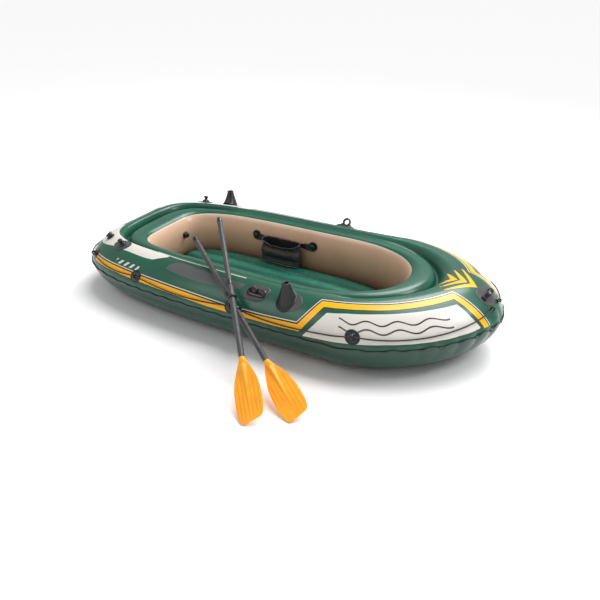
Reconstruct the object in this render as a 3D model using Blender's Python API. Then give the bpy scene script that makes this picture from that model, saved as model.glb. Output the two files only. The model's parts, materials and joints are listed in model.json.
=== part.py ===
"""Inflatable rowing boat for two, with its fittings, grab rope, gear bag and two take-down oars.

Metres, +Z up, +X to the bow and +Y to port. The origin is on the floor below the middle of the
hull. Every fitting sits on the hull's own surface, which skin() works out from the two plan
outlines and the section of the tube, so a change of size carries the fittings with it.
"""
import math

import bmesh
import bpy
import numpy as np
from mathutils import Matrix, Vector

# ---- driving sizes, in metres ----
HULL_LENGTH = 2.345  # over the tubes, without the weld flange
HULL_WIDTH = 1.125
TUBE_HEIGHT = 0.329  # amidships
BOW_RISE = 0.072  # how much taller the tube is at the bow
STERN_DROP = 0.015
SIDE_TUBE = 0.2375  # from the outside of the tube to the cockpit's upper edge
BOW_TUBE = 0.49
STERN_TUBE = 0.3325
BOW_ROUND = 0.627  # how much of the length is the rounded bow
COCKPIT_BOW_ROUND = 0.53
TUBE_SHOULDER = 0.158  # from the outside of the tube to its crest, amidships
BULGE = 0.028  # how far the cockpit wall bellies in
SEAM_HEIGHT = 0.173
SHEET = 0.002  # bottom sheet
FLANGE_OUT = 0.0075
FLANGE_THICK = 0.004
FLOOR_HEIGHT = 0.086
RIB_PITCH = 0.1
GAP = 0.0004  # between pieces that touch

WALL = 0.004  # moulded vinyl and the gear bag

EYE_R = 0.036  # rope eyes
EYE_THICK = 0.0045
EYE_UP = 0.06  # how far up the tube from the seam, over the skin
EYE_X = (0.645, -0.01, -0.64, -1.04)  # along the boat, on either side
TRANSOM_EYE = 0.1  # either side of the middle, round the hull
ROPE_R = 0.0035
ROPE_CLEAR = 0.002  # all round the rope in an eye
ROPE_HOLE_R = ROPE_R + ROPE_CLEAR
ROPE_LIFT = ROPE_R + 0.0095  # the rope's centre over the skin at an eye
ROPE_SAG = 0.022
BOW_RING_UP = 0.085
BOW_RING_APART = 0.055  # round the hull
RING_CLEAR = 0.0042  # from the rope to the middle of a ring's wire
RING_WIRE_R = 0.003
BOW_PAD_UP = 0.15
BOW_PAD = (0.068, 0.052)  # half sizes of a patch, round the hull and up the tube
HANDLE_HEIGHT = 0.028
HANDLE_HALF = 0.045
HANDLE_WIDTH = 0.022
HANDLE_THICK = 0.006
PAD_THICK = 0.004

OARLOCK_X = 0.1
OARLOCK_UP = 0.158
OARLOCK_HOLE_R = 0.017
OARLOCK_RIM = 0.008
OARLOCK_THICK = 0.014
OARLOCK_PAD = (0.064, 0.046)
ROD_UP = 0.158
ROD_X = {"starboard": 0.268, "port": -0.69}
ROD_HEIGHT = 0.092
ROD_BORE_R = 0.0115
ROD_TOP_R = 0.017
ROD_FOOT_R = 0.044
ROD_PAD = (0.068, 0.052)
ROD_PAD_FORE = 0.018  # the patch's middle, to the bow from the holder
MOTOR_X = -0.84
MOTOR_UP = 0.2
MOTOR_PAD = (0.054, 0.044)
MOTOR_NECK_R = 0.009
MOTOR_HEAD_R = 0.0145
VALVE_X = -0.985
VALVE_UP = 0.19
VALVE_R = 0.024
INNER_VALVE_IN = 0.205  # from the cockpit's port side
INNER_VALVE_UP = 0.02  # over the seam

BAG_MIDDLE = -0.205
BAG_WIDTH = 0.27
BAG_DEPTH = 0.07
BAG_HEIGHT = 0.14
BUTTON_REACH = 0.055  # from the bag's side to a button's centre
BUTTON_HEIGHT = 0.222
BUTTON_R = 0.028
BUTTON_NECK_R = 0.008
STRAP_HOLE_R = 0.0155  # passes over the button's head once the bag is lifted

OAR_LENGTH = 1.21
OAR_SHAFT_R = 0.0145
OAR_JOINT = 0.75  # where the upper shaft starts, from the blade's tip
GRIP_LENGTH = 0.03
BLADE_LENGTH = 0.325
BLADE_SOCKET = 0.012  # the round end that takes the shaft
BLADE_WIDTH = 0.13
BLADE_TIP = 0.8  # width at the tip, as a share of the widest
BLADE_THICK = 0.006
BLADE_ROLL = 29  # degrees about the shaft, so that one corner rests on the floor
OAR_CLEAR = 0.002  # between a shaft and what it leans on
COLLAR_R = 0.024
# the blade tip's x and how far outboard it is; the shaft's heading in plan, in degrees; the collar
OAR_PLACE = {"rear": (0.588, 0.35, 148.6, 0.655), "front": (0.431, 0.476, 131.4, 0.672)}

# ---- plan outlines: (bow end, stern end, half width, bow start, bow power, stern power, taper) ----
TUBE_PLAN = (HULL_LENGTH / 2, -HULL_LENGTH / 2, HULL_WIDTH / 2,
             HULL_LENGTH / 2 - BOW_ROUND, 1.74, 4.1, -0.03)
COCKPIT_PLAN = (HULL_LENGTH / 2 - BOW_TUBE, -HULL_LENGTH / 2 + STERN_TUBE, HULL_WIDTH / 2 - SIDE_TUBE,
                HULL_LENGTH / 2 - BOW_TUBE - COCKPIT_BOW_ROUND, 2.31, 5.1, 0.053)

SPINE_BOW = COCKPIT_PLAN[0] - 0.33  # the rays start on a line between these two points
SPINE_STERN = COCKPIT_PLAN[1] + 0.33
FAN = 0.45  # nominal radius that turns an angle at either end into a length round the hull
QUARTER = FAN * math.pi / 2
SIDE = SPINE_BOW - SPINE_STERN
ROUND = 4 * QUARTER + 2 * SIDE


def rays(t):
    """Start and direction of the ray at length t round the hull, from the bow over port and back."""
    t = np.mod(np.asarray(t, float), ROUND)
    port = t <= ROUND / 2
    h = np.where(port, t, ROUND - t)
    angle = np.where(h < QUARTER, h / FAN,
                     np.where(h < QUARTER + SIDE, math.pi / 2, (h - SIDE) / FAN))
    x = np.clip(SPINE_BOW - (h - QUARTER), SPINE_STERN, SPINE_BOW)
    sign = np.where(port, 1.0, -1.0)
    start = np.stack([x, np.zeros_like(x)], -1)
    way = np.stack([np.cos(angle), sign * np.sin(angle)], -1)
    return start, way


def outside(plan, x, y):
    """Above 1 outside the outline: two half superellipses that meet where the bow starts."""
    bow, stern, half, start, bow_power, stern_power, taper = plan
    fore = np.clip((x - start) / (bow - start), 0, None)
    aft = np.clip((start - x) / (start - stern), 0, None)
    width = half * (1 - taper * np.minimum(aft, 1.5) ** 1.5)
    return np.where(x > start, fore ** bow_power + (np.abs(y) / half) ** bow_power,
                    aft ** stern_power + (np.abs(y) / width) ** stern_power)


def reach(plan, start, way):
    """Distance along each ray to the outline, by halving."""
    low = np.zeros(start.shape[:-1])
    high = np.full(start.shape[:-1], HULL_LENGTH)
    for _ in range(44):
        middle = (low + high) / 2
        p = start + way * middle[..., None]
        out = outside(plan, p[..., 0], p[..., 1]) > 1
        high = np.where(out, middle, high)
        low = np.where(out, low, middle)
    return (low + high) / 2


def rise(x):
    """How much taller the tubes are at x than amidships: they swell to the bow."""
    share = (x / (HULL_LENGTH / 2)) ** 2
    return 1 + np.where(x > 0, BOW_RISE, -STERN_DROP) * share / TUBE_HEIGHT


def section(way, width):
    """Where the crests and the groove of the tube lie, as distances in from its outside."""
    bow = np.clip(way[..., 0], 0, 1) ** 2
    stern = np.clip(-way[..., 0], 0, 1) ** 2
    crest = TUBE_SHOULDER + 0.06 * bow + 0.01 * stern
    groove = width * (0.77 - 0.07 * bow - 0.18 * stern)
    inner_crest = groove + (width - groove) * 0.55
    return crest, groove, inner_crest


OUTER_POWER = 1.6
WEB_POWER = 3.4
INNER_POWER = 2.6
INNER_DROP = 0.014  # the inner tube's crest is lower than the outer one's
FLOOR_GAP = SHEET + GAP


def lobe(a, out_reach, in_reach, low, high, out_power, in_power, middle):
    """A closed section: two half superellipses, out_reach wide on one side and in_reach on the other."""
    c, s = np.cos(a), np.sin(a)
    power = np.where(c < 0, out_power, in_power)
    size = np.where(c < 0, out_reach, in_reach)
    across = size * np.sign(c) * np.abs(c) ** (2 / power)
    up = np.sign(s) * np.abs(s) ** (2 / power)
    return across, middle + np.where(up > 0, high - middle, middle - low) * up


def ring(t, a, which):
    """Points of the outer or the inner tube at lengths t round the hull and angles a round the tube."""
    start, way = rays(t)
    out = reach(TUBE_PLAN, start, way)
    width = out - reach(COCKPIT_PLAN, start, way)
    crest, groove, inner_crest = section(way, width)
    if which == "outer":
        across, z = lobe(a, crest, groove - GAP - crest, FLOOR_GAP, TUBE_HEIGHT,
                         OUTER_POWER, WEB_POWER, SEAM_HEIGHT)
        offset = crest + across
    else:
        across, z = lobe(a, inner_crest - groove - GAP, width + BULGE - inner_crest,
                         FLOOR_GAP + INNER_DROP / 2, TUBE_HEIGHT - INNER_DROP,
                         WEB_POWER, INNER_POWER, SEAM_HEIGHT)
        offset = inner_crest + across
    p = start + way * (out - offset)[..., None]
    return np.concatenate([p, (z * rise(p[..., 0]))[..., None]], -1)


def skin(t, s):
    """Points of the outer tube's surface: t round the hull and s up over the tube from the seam."""
    t, s = np.broadcast_arrays(np.asarray(t, float), np.asarray(s, float))
    a = np.linspace(1.9 * math.pi / 2 + math.pi / 2, 0.3 * math.pi / 2, 161)
    curves = ring(t.reshape(-1, 1) + 0 * a, a + 0 * t.reshape(-1, 1), "outer")
    length = np.cumsum(np.linalg.norm(np.diff(curves, axis=1), axis=2), axis=1)
    length = np.concatenate([np.zeros((len(length), 1)), length], 1)
    out = np.empty((t.size, 3))
    for i, (curve, along, up) in enumerate(zip(curves, length, s.reshape(-1))):
        along = along - np.interp(-math.pi, -a, along)
        out[i] = [np.interp(up, along, curve[:, k]) for k in range(3)]
    return out.reshape(t.shape + (3,))


def normals(t, s, step=0.003):
    """Outward normals of skin() at the same lengths."""
    along = skin(t + step, s) - skin(t - step, s)
    up = skin(t, s + step) - skin(t, s - step)
    n = np.cross(along, up)
    return n / np.linalg.norm(n, axis=-1, keepdims=True)


def station(x, side, s):
    """The length t round the hull where the skin at height s reaches x, by halving."""
    low, high = 0.0, ROUND / 2
    for _ in range(30):
        middle = (low + high) / 2
        low, high = (middle, high) if skin(middle, s)[0] > x else (low, middle)
    return middle if side == "port" else ROUND - middle


def seat(t, s, lift=0.0):
    """A place on the skin: Z along the normal, X round the hull towards the bow, as a matrix."""
    n = normals(t, s)
    p = skin(t, s) + n * lift
    along = skin(t - 0.003, s) - skin(t + 0.003, s)
    along = along if t < ROUND / 2 else -along
    along = along / np.linalg.norm(along)
    across = np.cross(n, along)
    rows = [[*axis] for axis in zip(along, across, n, p)]
    return Matrix(rows + [[0, 0, 0, 1]])


# ---- building ----
COLOURS = {  # base colour, roughness
    "hull_green": ((0.035, 0.13, 0.095), 0.38),
    "wall_tan": ((0.47, 0.34, 0.26), 0.5),
    "floor_green": ((0.02, 0.26, 0.15), 0.4),
    "black_vinyl": ((0.012, 0.012, 0.013), 0.4),
    "grey_vinyl": ((0.1, 0.1, 0.105), 0.5),
    "shaft_grey": ((0.085, 0.085, 0.085), 0.45),
    "blade_yellow": ((0.95, 0.45, 0.01), 0.4),
    "rope_black": ((0.01, 0.01, 0.01), 0.8),
}


def material(slot):
    found = bpy.data.materials.get(slot)
    if found:
        return found
    made = bpy.data.materials.new(slot)
    made.use_nodes = True
    shader = made.node_tree.nodes["Principled BSDF"]
    colour, roughness = COLOURS[slot]
    shader.inputs["Base Color"].default_value = (*colour, 1)
    shader.inputs["Roughness"].default_value = roughness
    return made


def add(name, points, faces, slot, place=None):
    mesh = bpy.data.meshes.new(name)
    mesh.from_pydata([tuple(map(float, p)) for p in points], [], [tuple(map(int, f)) for f in faces])
    shape = bmesh.new()
    shape.from_mesh(mesh)
    bmesh.ops.recalc_face_normals(shape, faces=shape.faces)
    shape.to_mesh(mesh)
    shape.free()
    mesh.materials.append(material(slot))
    mesh.shade_smooth()
    mesh.set_sharp_from_angle(angle=math.radians(40))
    thing = bpy.data.objects.new(name, mesh)
    bpy.context.scene.collection.objects.link(thing)
    if place is not None:
        thing.matrix_world = place
    return thing


def wrap(rows, columns, rows_close=True):
    """Quads over a grid of rows that closes across, and down as well if rows_close."""
    faces = []
    for i in range(rows if rows_close else rows - 1):
        for j in range(columns):
            k, m = (i + 1) % rows, (j + 1) % columns
            faces.append((i * columns + j, k * columns + j, k * columns + m, i * columns + m))
    return faces


def turned(profile, sides, closed=False, squash=1.0):
    """A profile of (radius, height) turned about Z. An open one runs from the axis to the axis."""
    points, faces, rows = [], [], []
    for radius, height in profile:
        count = 1 if radius == 0 else sides
        rows.append([len(points) + k % count for k in range(sides)])
        for k in range(count):
            angle = 2 * math.pi * k / sides
            points.append((radius * math.cos(angle), squash * radius * math.sin(angle), height))
    pairs = list(zip(rows, rows[1:])) + ([(rows[-1], rows[0])] if closed else [])
    for a, b in pairs:
        for k in range(sides):
            m = (k + 1) % sides
            corners = [a[k], a[m], b[m], b[k]]
            faces.append(tuple(dict.fromkeys(corners)))
    return points, faces


def slab(outline, low, high):
    n = len(outline)
    points = [(x, y, low) for x, y in outline] + [(x, y, high) for x, y in outline]
    sides = [(k, (k + 1) % n, n + (k + 1) % n, n + k) for k in range(n)]
    return points, sides + [tuple(range(n))[::-1], tuple(range(n, 2 * n))]


def holed(outline, centre, radius, low, high, count=24):
    """A flat plate with a round hole. The outline is seen whole from the hole's centre."""
    angles = [2 * math.pi * k / count for k in range(count)]
    edge = []
    for angle in angles:
        way = Vector((math.cos(angle), math.sin(angle)))
        best = None
        for p, q in zip(outline, outline[1:] + outline[:1]):
            p, q = Vector(p) - Vector(centre), Vector(q) - Vector(centre)
            span = q - p
            det = way.x * -span.y + way.y * span.x
            if abs(det) < 1e-12:
                continue
            out = (p.x * -span.y + p.y * span.x) / det
            share = (way.x * p.y - way.y * p.x) / det
            if out > 0 and -1e-9 <= share <= 1 + 1e-9:
                best = out if best is None else min(best, out)
        edge.append((centre[0] + way.x * best, centre[1] + way.y * best))
    hole = [(centre[0] + radius * math.cos(a), centre[1] + radius * math.sin(a)) for a in angles]
    rows = [(edge, low), (edge, high), (hole, high), (hole, low)]
    points = [(x, y, z) for loop, z in rows for x, y in loop]
    return points, wrap(4, count)


def pad(name, t, s, half_along, half_up, thick, slot, power=2.0, skew=0.0, sides=16, lift=0.0012):
    """A moulded patch that lies on the skin: a rounded plate bent to the hull's curve."""
    angle = np.linspace(0, 2 * math.pi, sides, endpoint=False)
    round_x = np.sign(np.cos(angle)) * np.abs(np.cos(angle)) ** (2 / power)
    round_y = np.sign(np.sin(angle)) * np.abs(np.sin(angle)) ** (2 / power)
    scale = np.linalg.norm(skin(t + 0.01, s) - skin(t - 0.01, s)) / 0.02
    towards = 1 if t >= ROUND / 2 else -1
    shares = (0.5, 1.0)
    points, levels = [], (lift, lift + thick)
    for level in levels:
        points.append(skin(t, s) + normals(t, s) * level)
        for share in shares:
            up = share * half_up * round_y
            along = share * half_along * round_x + skew * up
            tt = t + towards * along / scale
            points.extend(skin(tt, s + up) + normals(tt, s + up) * level)
    half = 1 + len(shares) * sides
    faces = []
    for base in (0, half):
        for k in range(sides):
            m = (k + 1) % sides
            faces.append((base, base + 1 + k, base + 1 + m))
            for r in range(len(shares) - 1):
                a, b = base + 1 + r * sides, base + 1 + (r + 1) * sides
                faces.append((a + k, b + k, b + m, a + m))
    rim = 1 + (len(shares) - 1) * sides
    for k in range(sides):
        m = (k + 1) % sides
        faces.append((rim + k, rim + m, half + rim + m, half + rim + k))
    return add(name, points, faces, slot)


def cut(thing, cutter, operation="DIFFERENCE"):
    """Takes the cutter out of the thing, or joins it on, and removes the cutter."""
    modifier = thing.modifiers.new(cutter.name, "BOOLEAN")
    modifier.solver = "EXACT"
    modifier.operation = operation
    modifier.object = cutter
    bpy.context.view_layer.update()
    graph = bpy.context.evaluated_depsgraph_get()
    mesh = bpy.data.meshes.new_from_object(thing.evaluated_get(graph))
    thing.modifiers.clear()
    thing.data = mesh
    bpy.data.objects.remove(cutter)


def hull():
    around = np.linspace(0, ROUND, 88, endpoint=False)
    for name, which, count, slot in (("outer_chamber", "outer", 16, "hull_green"),
                                     ("inner_chamber", "inner", 12, "wall_tan")):
        angles = np.linspace(0, 2 * math.pi, count, endpoint=False)
        t, a = np.meshgrid(around, angles, indexing="ij")
        points = ring(t, a, which).reshape(-1, 3)
        add(name, points, wrap(len(around), count), slot)
    start, way = rays(around)
    out = reach(TUBE_PLAN, start, way)
    rows = []
    for offset, up in ((GAP * 2, -0.5), (FLANGE_OUT, -0.5), (FLANGE_OUT, 0.5), (GAP * 2, 0.5)):
        p = start + way * (out + offset)[:, None]
        z = SEAM_HEIGHT * rise(p[:, 0]) + up * FLANGE_THICK
        rows.append(np.concatenate([p, z[:, None]], 1))
    add("weld_flange", np.stack(rows, 1).reshape(-1, 3), wrap(len(around), 4), "black_vinyl")
    crest = section(way, out - reach(COCKPIT_PLAN, start, way))[0]
    outline = [tuple(p) for p in (start + way * (out - crest)[:, None])[::2]]
    add("bottom_sheet", *slab(outline, 0.0, SHEET), "hull_green")


def floor():
    """The inflated floor: ribs along the boat inside the cockpit wall's belly."""
    t = np.linspace(0, ROUND, 72, endpoint=False)
    start, way = rays(t)
    inside = reach(COCKPIT_PLAN, start, way) - BULGE - 0.004
    outline = [tuple(p) for p in start + way * inside[:, None]]
    base = add("floor_cushion", *slab(outline, FLOOR_GAP, FLOOR_HEIGHT + 0.01), "floor_green")
    half = HULL_WIDTH / 2 - SIDE_TUBE + 0.05
    ribs = int(half / RIB_PITCH) + 1
    profile = []
    for k in range(-ribs, ribs):
        for u in (0.0, 0.12, 0.3, 0.5, 0.7, 0.88):
            profile.append(((k + u) * RIB_PITCH, FLOOR_HEIGHT - 0.022 * (1 - math.sin(math.pi * u) ** 0.6)))
    top = FLOOR_HEIGHT + 0.05
    loop = profile + [(ribs * RIB_PITCH, top), (-ribs * RIB_PITCH, top)]
    n = len(loop)
    points = [(x, y, z) for x in (-HULL_LENGTH / 2, HULL_LENGTH / 2) for y, z in loop]
    faces = [(k, (k + 1) % n, n + (k + 1) % n, n + k) for k in range(n)]
    faces += [tuple(range(n)), tuple(range(n, 2 * n))]
    cut(base, add("floor_cutter", points, faces, "floor_green"))


def valve(name, place, radius):
    """A valve: its welded body with a neck, and the cap that lifts off it."""
    neck = radius * 0.62
    body = [(0, 0), (radius, 0), (radius, 0.003), (neck, 0.004), (neck, 0.011), (0, 0.011)]
    add(name + "_body", *turned(body, 16), "black_vinyl", place)
    low = 0.011 + GAP
    cap = [(0, low), (neck * 1.15, low), (neck * 1.25, low + 0.003), (neck * 1.1, low + 0.008),
           (neck * 0.3, low + 0.008), (neck * 0.25, low + 0.014), (0, low + 0.014)]
    add(name + "_cap", *turned(cap, 16), "black_vinyl", place)


def valves():
    t = station(VALVE_X, "starboard", VALVE_UP)
    valve("main_valve", seat(t, VALVE_UP, 0.0016), VALVE_R)
    aft = -HULL_LENGTH / 2 + STERN_TUBE
    on_floor = Matrix.Translation((aft + 0.12, -RIB_PITCH / 2, FLOOR_HEIGHT + GAP))
    valve("floor_valve", on_floor, VALVE_R * 0.85)
    y, z = COCKPIT_PLAN[2] - INNER_VALVE_IN, SEAM_HEIGHT + INNER_VALVE_UP
    near_stern, facing = np.linspace(ROUND / 2 - 0.5, ROUND / 2, 300), np.linspace(-1, 1, 90)
    grid_t, grid_a = np.meshgrid(near_stern, facing, indexing="ij")
    face = ring(grid_t, grid_a, "inner").reshape(-1, 3)
    behind = face[np.hypot(face[:, 1] - y, face[:, 2] - z) < VALVE_R]
    wall = Matrix.Translation((float(behind[:, 0].max()) + GAP * 2, y, z))
    valve("inner_valve", wall @ Matrix.Rotation(math.pi / 2, 4, "Y"), VALVE_R * 0.85)


def oarlocks():
    """A patch and a standing arch on either side. The oar passes out through the arch's hole."""
    foot, base = 0.044, 0.006
    centre = (0, 0.03)
    rim = OARLOCK_HOLE_R + OARLOCK_RIM
    top = [(rim * math.sin(a), centre[1] + rim * math.cos(a))
           for a in np.linspace(-0.62 * math.pi, 0.62 * math.pi, 15)]
    outline = [(-foot, base), (-foot, 0)] + [(foot, 0), (foot, base)] + top[::-1]
    for side in ("starboard", "port"):
        t = station(OARLOCK_X, side, OARLOCK_UP)
        pad(f"oarlock_pad_{side}", t, OARLOCK_UP, *OARLOCK_PAD, PAD_THICK, "grey_vinyl", 3.2, 0.25)
        half = OARLOCK_THICK / 2
        points, faces = holed(outline, centre, OARLOCK_HOLE_R, -half, half)
        points = [(x, -z, y) for x, y, z in points]
        add(f"oarlock_arch_{side}", points, faces, "black_vinyl", seat(t, OARLOCK_UP, 0.0058))


def rod_holders():
    """Upright tapered sockets, one well forward to starboard and one well aft to port."""
    sides = 16
    for side, x in ROD_X.items():
        t = station(x, side, ROD_UP)
        middle = station(x + ROD_PAD_FORE, side, ROD_UP)
        pad(f"rod_pad_{side}", middle, ROD_UP, *ROD_PAD, PAD_THICK, "grey_vinyl")
        p, n = skin(t, ROD_UP), normals(t, ROD_UP)
        slope = lambda dx, dy: -(n[0] * dx + n[1] * dy) / n[2]
        rings = []
        lift, height = 0.0068, ROD_HEIGHT
        outer = [(ROD_FOOT_R, 0.0), (ROD_FOOT_R * 0.93, 0.004), (ROD_FOOT_R * 0.62, 0.03),
                 (ROD_TOP_R * 1.12, 0.075), (ROD_TOP_R, height)]
        inner = [(ROD_BORE_R, height), (ROD_BORE_R, 0.022)]
        for radius, up in outer + inner:
            blend = max(0.0, 1 - up / 0.07)
            loop = []
            for k in range(sides):
                angle = 2 * math.pi * k / sides
                dx, dy = radius * math.cos(angle), radius * math.sin(angle)
                loop.append((p[0] + dx, p[1] + dy, p[2] + lift / n[2] + up + blend * slope(dx, dy)))
            rings.append(loop)
        points = [v for loop in rings for v in loop]
        faces = wrap(len(rings), sides, rows_close=False)
        first, last = len(points), len(points) + 1
        points += [(p[0], p[1], p[2] + lift / n[2]), (p[0], p[1], p[2] + lift / n[2] + 0.02)]
        end = (len(rings) - 1) * sides
        for k in range(sides):
            m = (k + 1) % sides
            faces += [(first, k, m), (last, end + m, end + k)]
        add(f"rod_holder_{side}", points, faces, "grey_vinyl")


def motor_mounts():
    """Round patches near the stern, each with the boss that a motor bracket's strap buttons on."""
    for side in ("starboard", "port"):
        t = station(MOTOR_X, side, MOTOR_UP)
        pad(f"motor_pad_{side}", t, MOTOR_UP, *MOTOR_PAD, PAD_THICK, "grey_vinyl")
        boss = [(0, 0), (0.021, 0), (0.021, 0.006), (MOTOR_NECK_R, 0.01), (MOTOR_NECK_R, 0.018),
                (MOTOR_HEAD_R, 0.022), (MOTOR_HEAD_R, 0.028), (0.008, 0.033), (0, 0.033)]
        add(f"motor_boss_{side}", *turned(boss, 16), "black_vinyl", seat(t, MOTOR_UP, 0.0062))


def eye(name, t, s):
    """A rope eye: a round patch and, standing on it, a lug with the hole that the rope runs through."""
    base = pad(name, t, s, EYE_R, EYE_R, EYE_THICK, "black_vinyl", sides=12)
    high = ROPE_LIFT + ROPE_HOLE_R + 0.004
    low = 0.0035
    outline = [(-0.016, low), (0.016, low), (0.012, high - 0.002), (0.007, high),
               (-0.007, high), (-0.012, high - 0.002)]
    points, faces = holed(outline, (0, ROPE_LIFT), ROPE_HOLE_R, -0.005, 0.005, 8)
    lug = add(name + "_lug", [(z, x, y) for x, y, z in points], faces, "black_vinyl", seat(t, s))
    cut(base, lug, "UNION")
    return skin(t, s) + normals(t, s) * ROPE_LIFT


def eye_places():
    """Name and length round the hull of every rope eye, from the starboard bow to the port bow."""
    places = []
    names = ("fore", "mid", "aft", "corner")
    for name, x in zip(names, EYE_X):
        places.append((f"rope_eye_starboard_{name}", station(x, "starboard", EYE_UP)))
    places.append(("rope_eye_transom_starboard", ROUND / 2 + TRANSOM_EYE))
    places.append(("rope_eye_transom_port", ROUND / 2 - TRANSOM_EYE))
    for name, x in list(zip(names, EYE_X))[::-1]:
        places.append((f"rope_eye_port_{name}", station(x, "port", EYE_UP)))
    return places


def rope_route():
    """The grab rope's centre line: from a bow ring through every eye to the other bow ring."""
    places = [t for _, t in eye_places()]
    stops = [(ROUND - BOW_RING_APART / 2, BOW_RING_UP)] + [(t, EYE_UP) for t in places]
    stops += [(BOW_RING_APART / 2, BOW_RING_UP)]
    route = []
    for (t0, s0), (t1, s1) in zip(stops, stops[1:]):
        span = abs(t1 - t0)
        ends = [0.0, 0.009, 0.055]
        pitch = 0.06 if BOW_RING_UP in (s0, s1) else 0.14
        middle = list(np.linspace(0.055, span - 0.055, max(3, round(span / pitch)))[1:-1])
        for near in ends + middle + [span - e for e in ends[:0:-1]]:
            u = near / span
            calm = min(near, span - near)
            share = min(1, max(0, (calm - 0.009) / (span / 2 - 0.009)))
            sag = ROPE_SAG * min(1, span / 0.5) * (1 - (1 - share) ** 2)
            low = ROPE_R + 0.0025
            lift = low + (ROPE_LIFT - low) * max(0, min(1, (0.055 - calm) / 0.046))
            route.append((t0 + (t1 - t0) * u, s0 + (s1 - s0) * u - sag, lift))
    route.append((*stops[-1], ROPE_LIFT))
    t, s, lift = (np.array(c) for c in zip(*route))
    return skin(t, s) + normals(t, s) * lift[:, None]


def rope():
    points = rope_route()
    curve = bpy.data.curves.new("grab_rope", "CURVE")
    curve.dimensions = "3D"
    curve.bevel_depth = ROPE_R
    curve.bevel_resolution = 2
    curve.use_fill_caps = True
    spline = curve.splines.new("POLY")
    spline.points.add(len(points) - 1)
    for target, p in zip(spline.points, points):
        target.co = (*map(float, p), 1)
    curve.materials.append(material("rope_black"))
    thing = bpy.data.objects.new("grab_rope", curve)
    bpy.context.scene.collection.objects.link(thing)


def bow_gear():
    """The bow's patch with its grab handle, and the two rings that the rope's ends are tied to."""
    pad("bow_pad", 0.0, BOW_PAD_UP, *BOW_PAD, PAD_THICK, "grey_vinyl", 2.6)
    handle = []
    half, width, thick = HANDLE_HALF, HANDLE_WIDTH, HANDLE_THICK
    for k in range(11):
        u = -1 + 0.2 * k
        handle.append((u * half, HANDLE_HEIGHT * (1 - abs(u) ** 2.6)))
    loops = []
    for k, (x, z) in enumerate(handle):
        before, after = handle[max(k - 1, 0)], handle[min(k + 1, 10)]
        run = Vector((after[0] - before[0], after[1] - before[1])).normalized()
        for side, up in ((-1, 0), (1, 0), (1, 1), (-1, 1)):
            loops.append((x - run.y * thick * up, side * width / 2, z + run.x * thick * up))
    faces = wrap(11, 4, rows_close=False) + [(0, 1, 2, 3), (40, 41, 42, 43)]
    add("bow_handle", loops, faces, "black_vinyl", seat(0.0, BOW_PAD_UP, 0.0075))
    for side, sign in (("starboard", -1), ("port", 1)):
        t = sign * BOW_RING_APART / 2 % ROUND
        place = seat(t, BOW_RING_UP, ROPE_LIFT) @ Matrix.Rotation(math.pi / 2, 4, "Y")
        ring_r, wire = ROPE_R + RING_CLEAR, RING_WIRE_R
        profile = [(ring_r + wire * math.cos(a), wire * math.sin(a))
                   for a in np.linspace(0, 2 * math.pi, 6, endpoint=False)]
        add(f"bow_ring_{side}", *turned(profile, 14, closed=True), "black_vinyl", place)


def gear_bag():
    """A vinyl bag, open on top, that hangs by two straps from buttons on the port cockpit wall."""
    wall = float(ring(QUARTER + SPINE_BOW - BAG_MIDDLE, 0.0, "inner")[1])
    back = wall - 0.006
    low = FLOOR_HEIGHT + 0.004
    rows = []
    for x_half, y_front, z in ((0.5, 0.9, 0.0), (0.5, 1.0, 0.02), (0.46, 0.8, BAG_HEIGHT * 0.5),
                               (0.47, 1.0, BAG_HEIGHT), ):
        rows.append((x_half * BAG_WIDTH, y_front * BAG_DEPTH, low + z))
    outside_loops, inside_loops = [], []
    for half, deep, z in rows:
        box = [(-half, 0), (half, 0), (half, -deep * 0.7), (half * 0.8, -deep), (-half * 0.8, -deep),
               (-half, -deep * 0.7)]
        outside_loops.append([(BAG_MIDDLE + x, back + y, z) for x, y in box])
        shrink = [(x * (1 - WALL / half), y * (1 - 2 * WALL / deep) - WALL) for x, y in box]
        inside_loops.append([(BAG_MIDDLE + x, back + y, max(z, low + WALL)) for x, y in shrink])
    loops = outside_loops + inside_loops[::-1]
    points = [p for loop in loops for p in loop]
    faces = wrap(len(loops), 6, rows_close=False)
    faces += [tuple(range(6)), tuple(range(len(points) - 6, len(points)))]
    add("gear_bag", points, faces, "black_vinyl")
    for side, sign in (("aft", -1), ("fore", 1)):
        x = BAG_MIDDLE + sign * (BAG_WIDTH / 2 + BUTTON_REACH)
        face = ring(QUARTER + SPINE_BOW - x, np.linspace(-0.6, 0.9, 60), "inner")
        y = float(np.interp(BUTTON_HEIGHT, face[:, 2], face[:, 1]))
        place = Matrix.Translation((x, y - 0.0012, BUTTON_HEIGHT)) @ Matrix.Rotation(math.pi / 2, 4, "X")
        neck, head = BUTTON_NECK_R, STRAP_HOLE_R - 0.001
        button = [(0, 0), (BUTTON_R, 0), (BUTTON_R, 0.003), (neck, 0.004), (neck, 0.0115),
                  (head, 0.014), (head, 0.018), (head * 0.4, 0.021), (0, 0.021)]
        add(f"bag_button_{side}", *turned(button, 16), "black_vinyl", place)
        inner = BAG_MIDDLE + sign * (BAG_WIDTH * 0.47 + GAP * 2)
        near, far = x - sign * 0.02, x + sign * 0.0205
        middle = BUTTON_HEIGHT - (STRAP_HOLE_R - BUTTON_NECK_R - GAP)
        z_low, z_high = middle - STRAP_HOLE_R - 0.006, middle + STRAP_HOLE_R + 0.006
        outline = [(inner, low + BAG_HEIGHT - 0.02), (inner, low + BAG_HEIGHT - 0.002), (near, z_high),
                   (far, z_high), (far, z_low), (near, z_low)]
        points, faces = holed(outline, (x, middle), STRAP_HOLE_R, 0, 0.0025, 20)
        points = [(px, y - 0.0075 - pz, py) for px, py, pz in points]
        add(f"bag_strap_{side}", points, faces, "black_vinyl")


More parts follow.
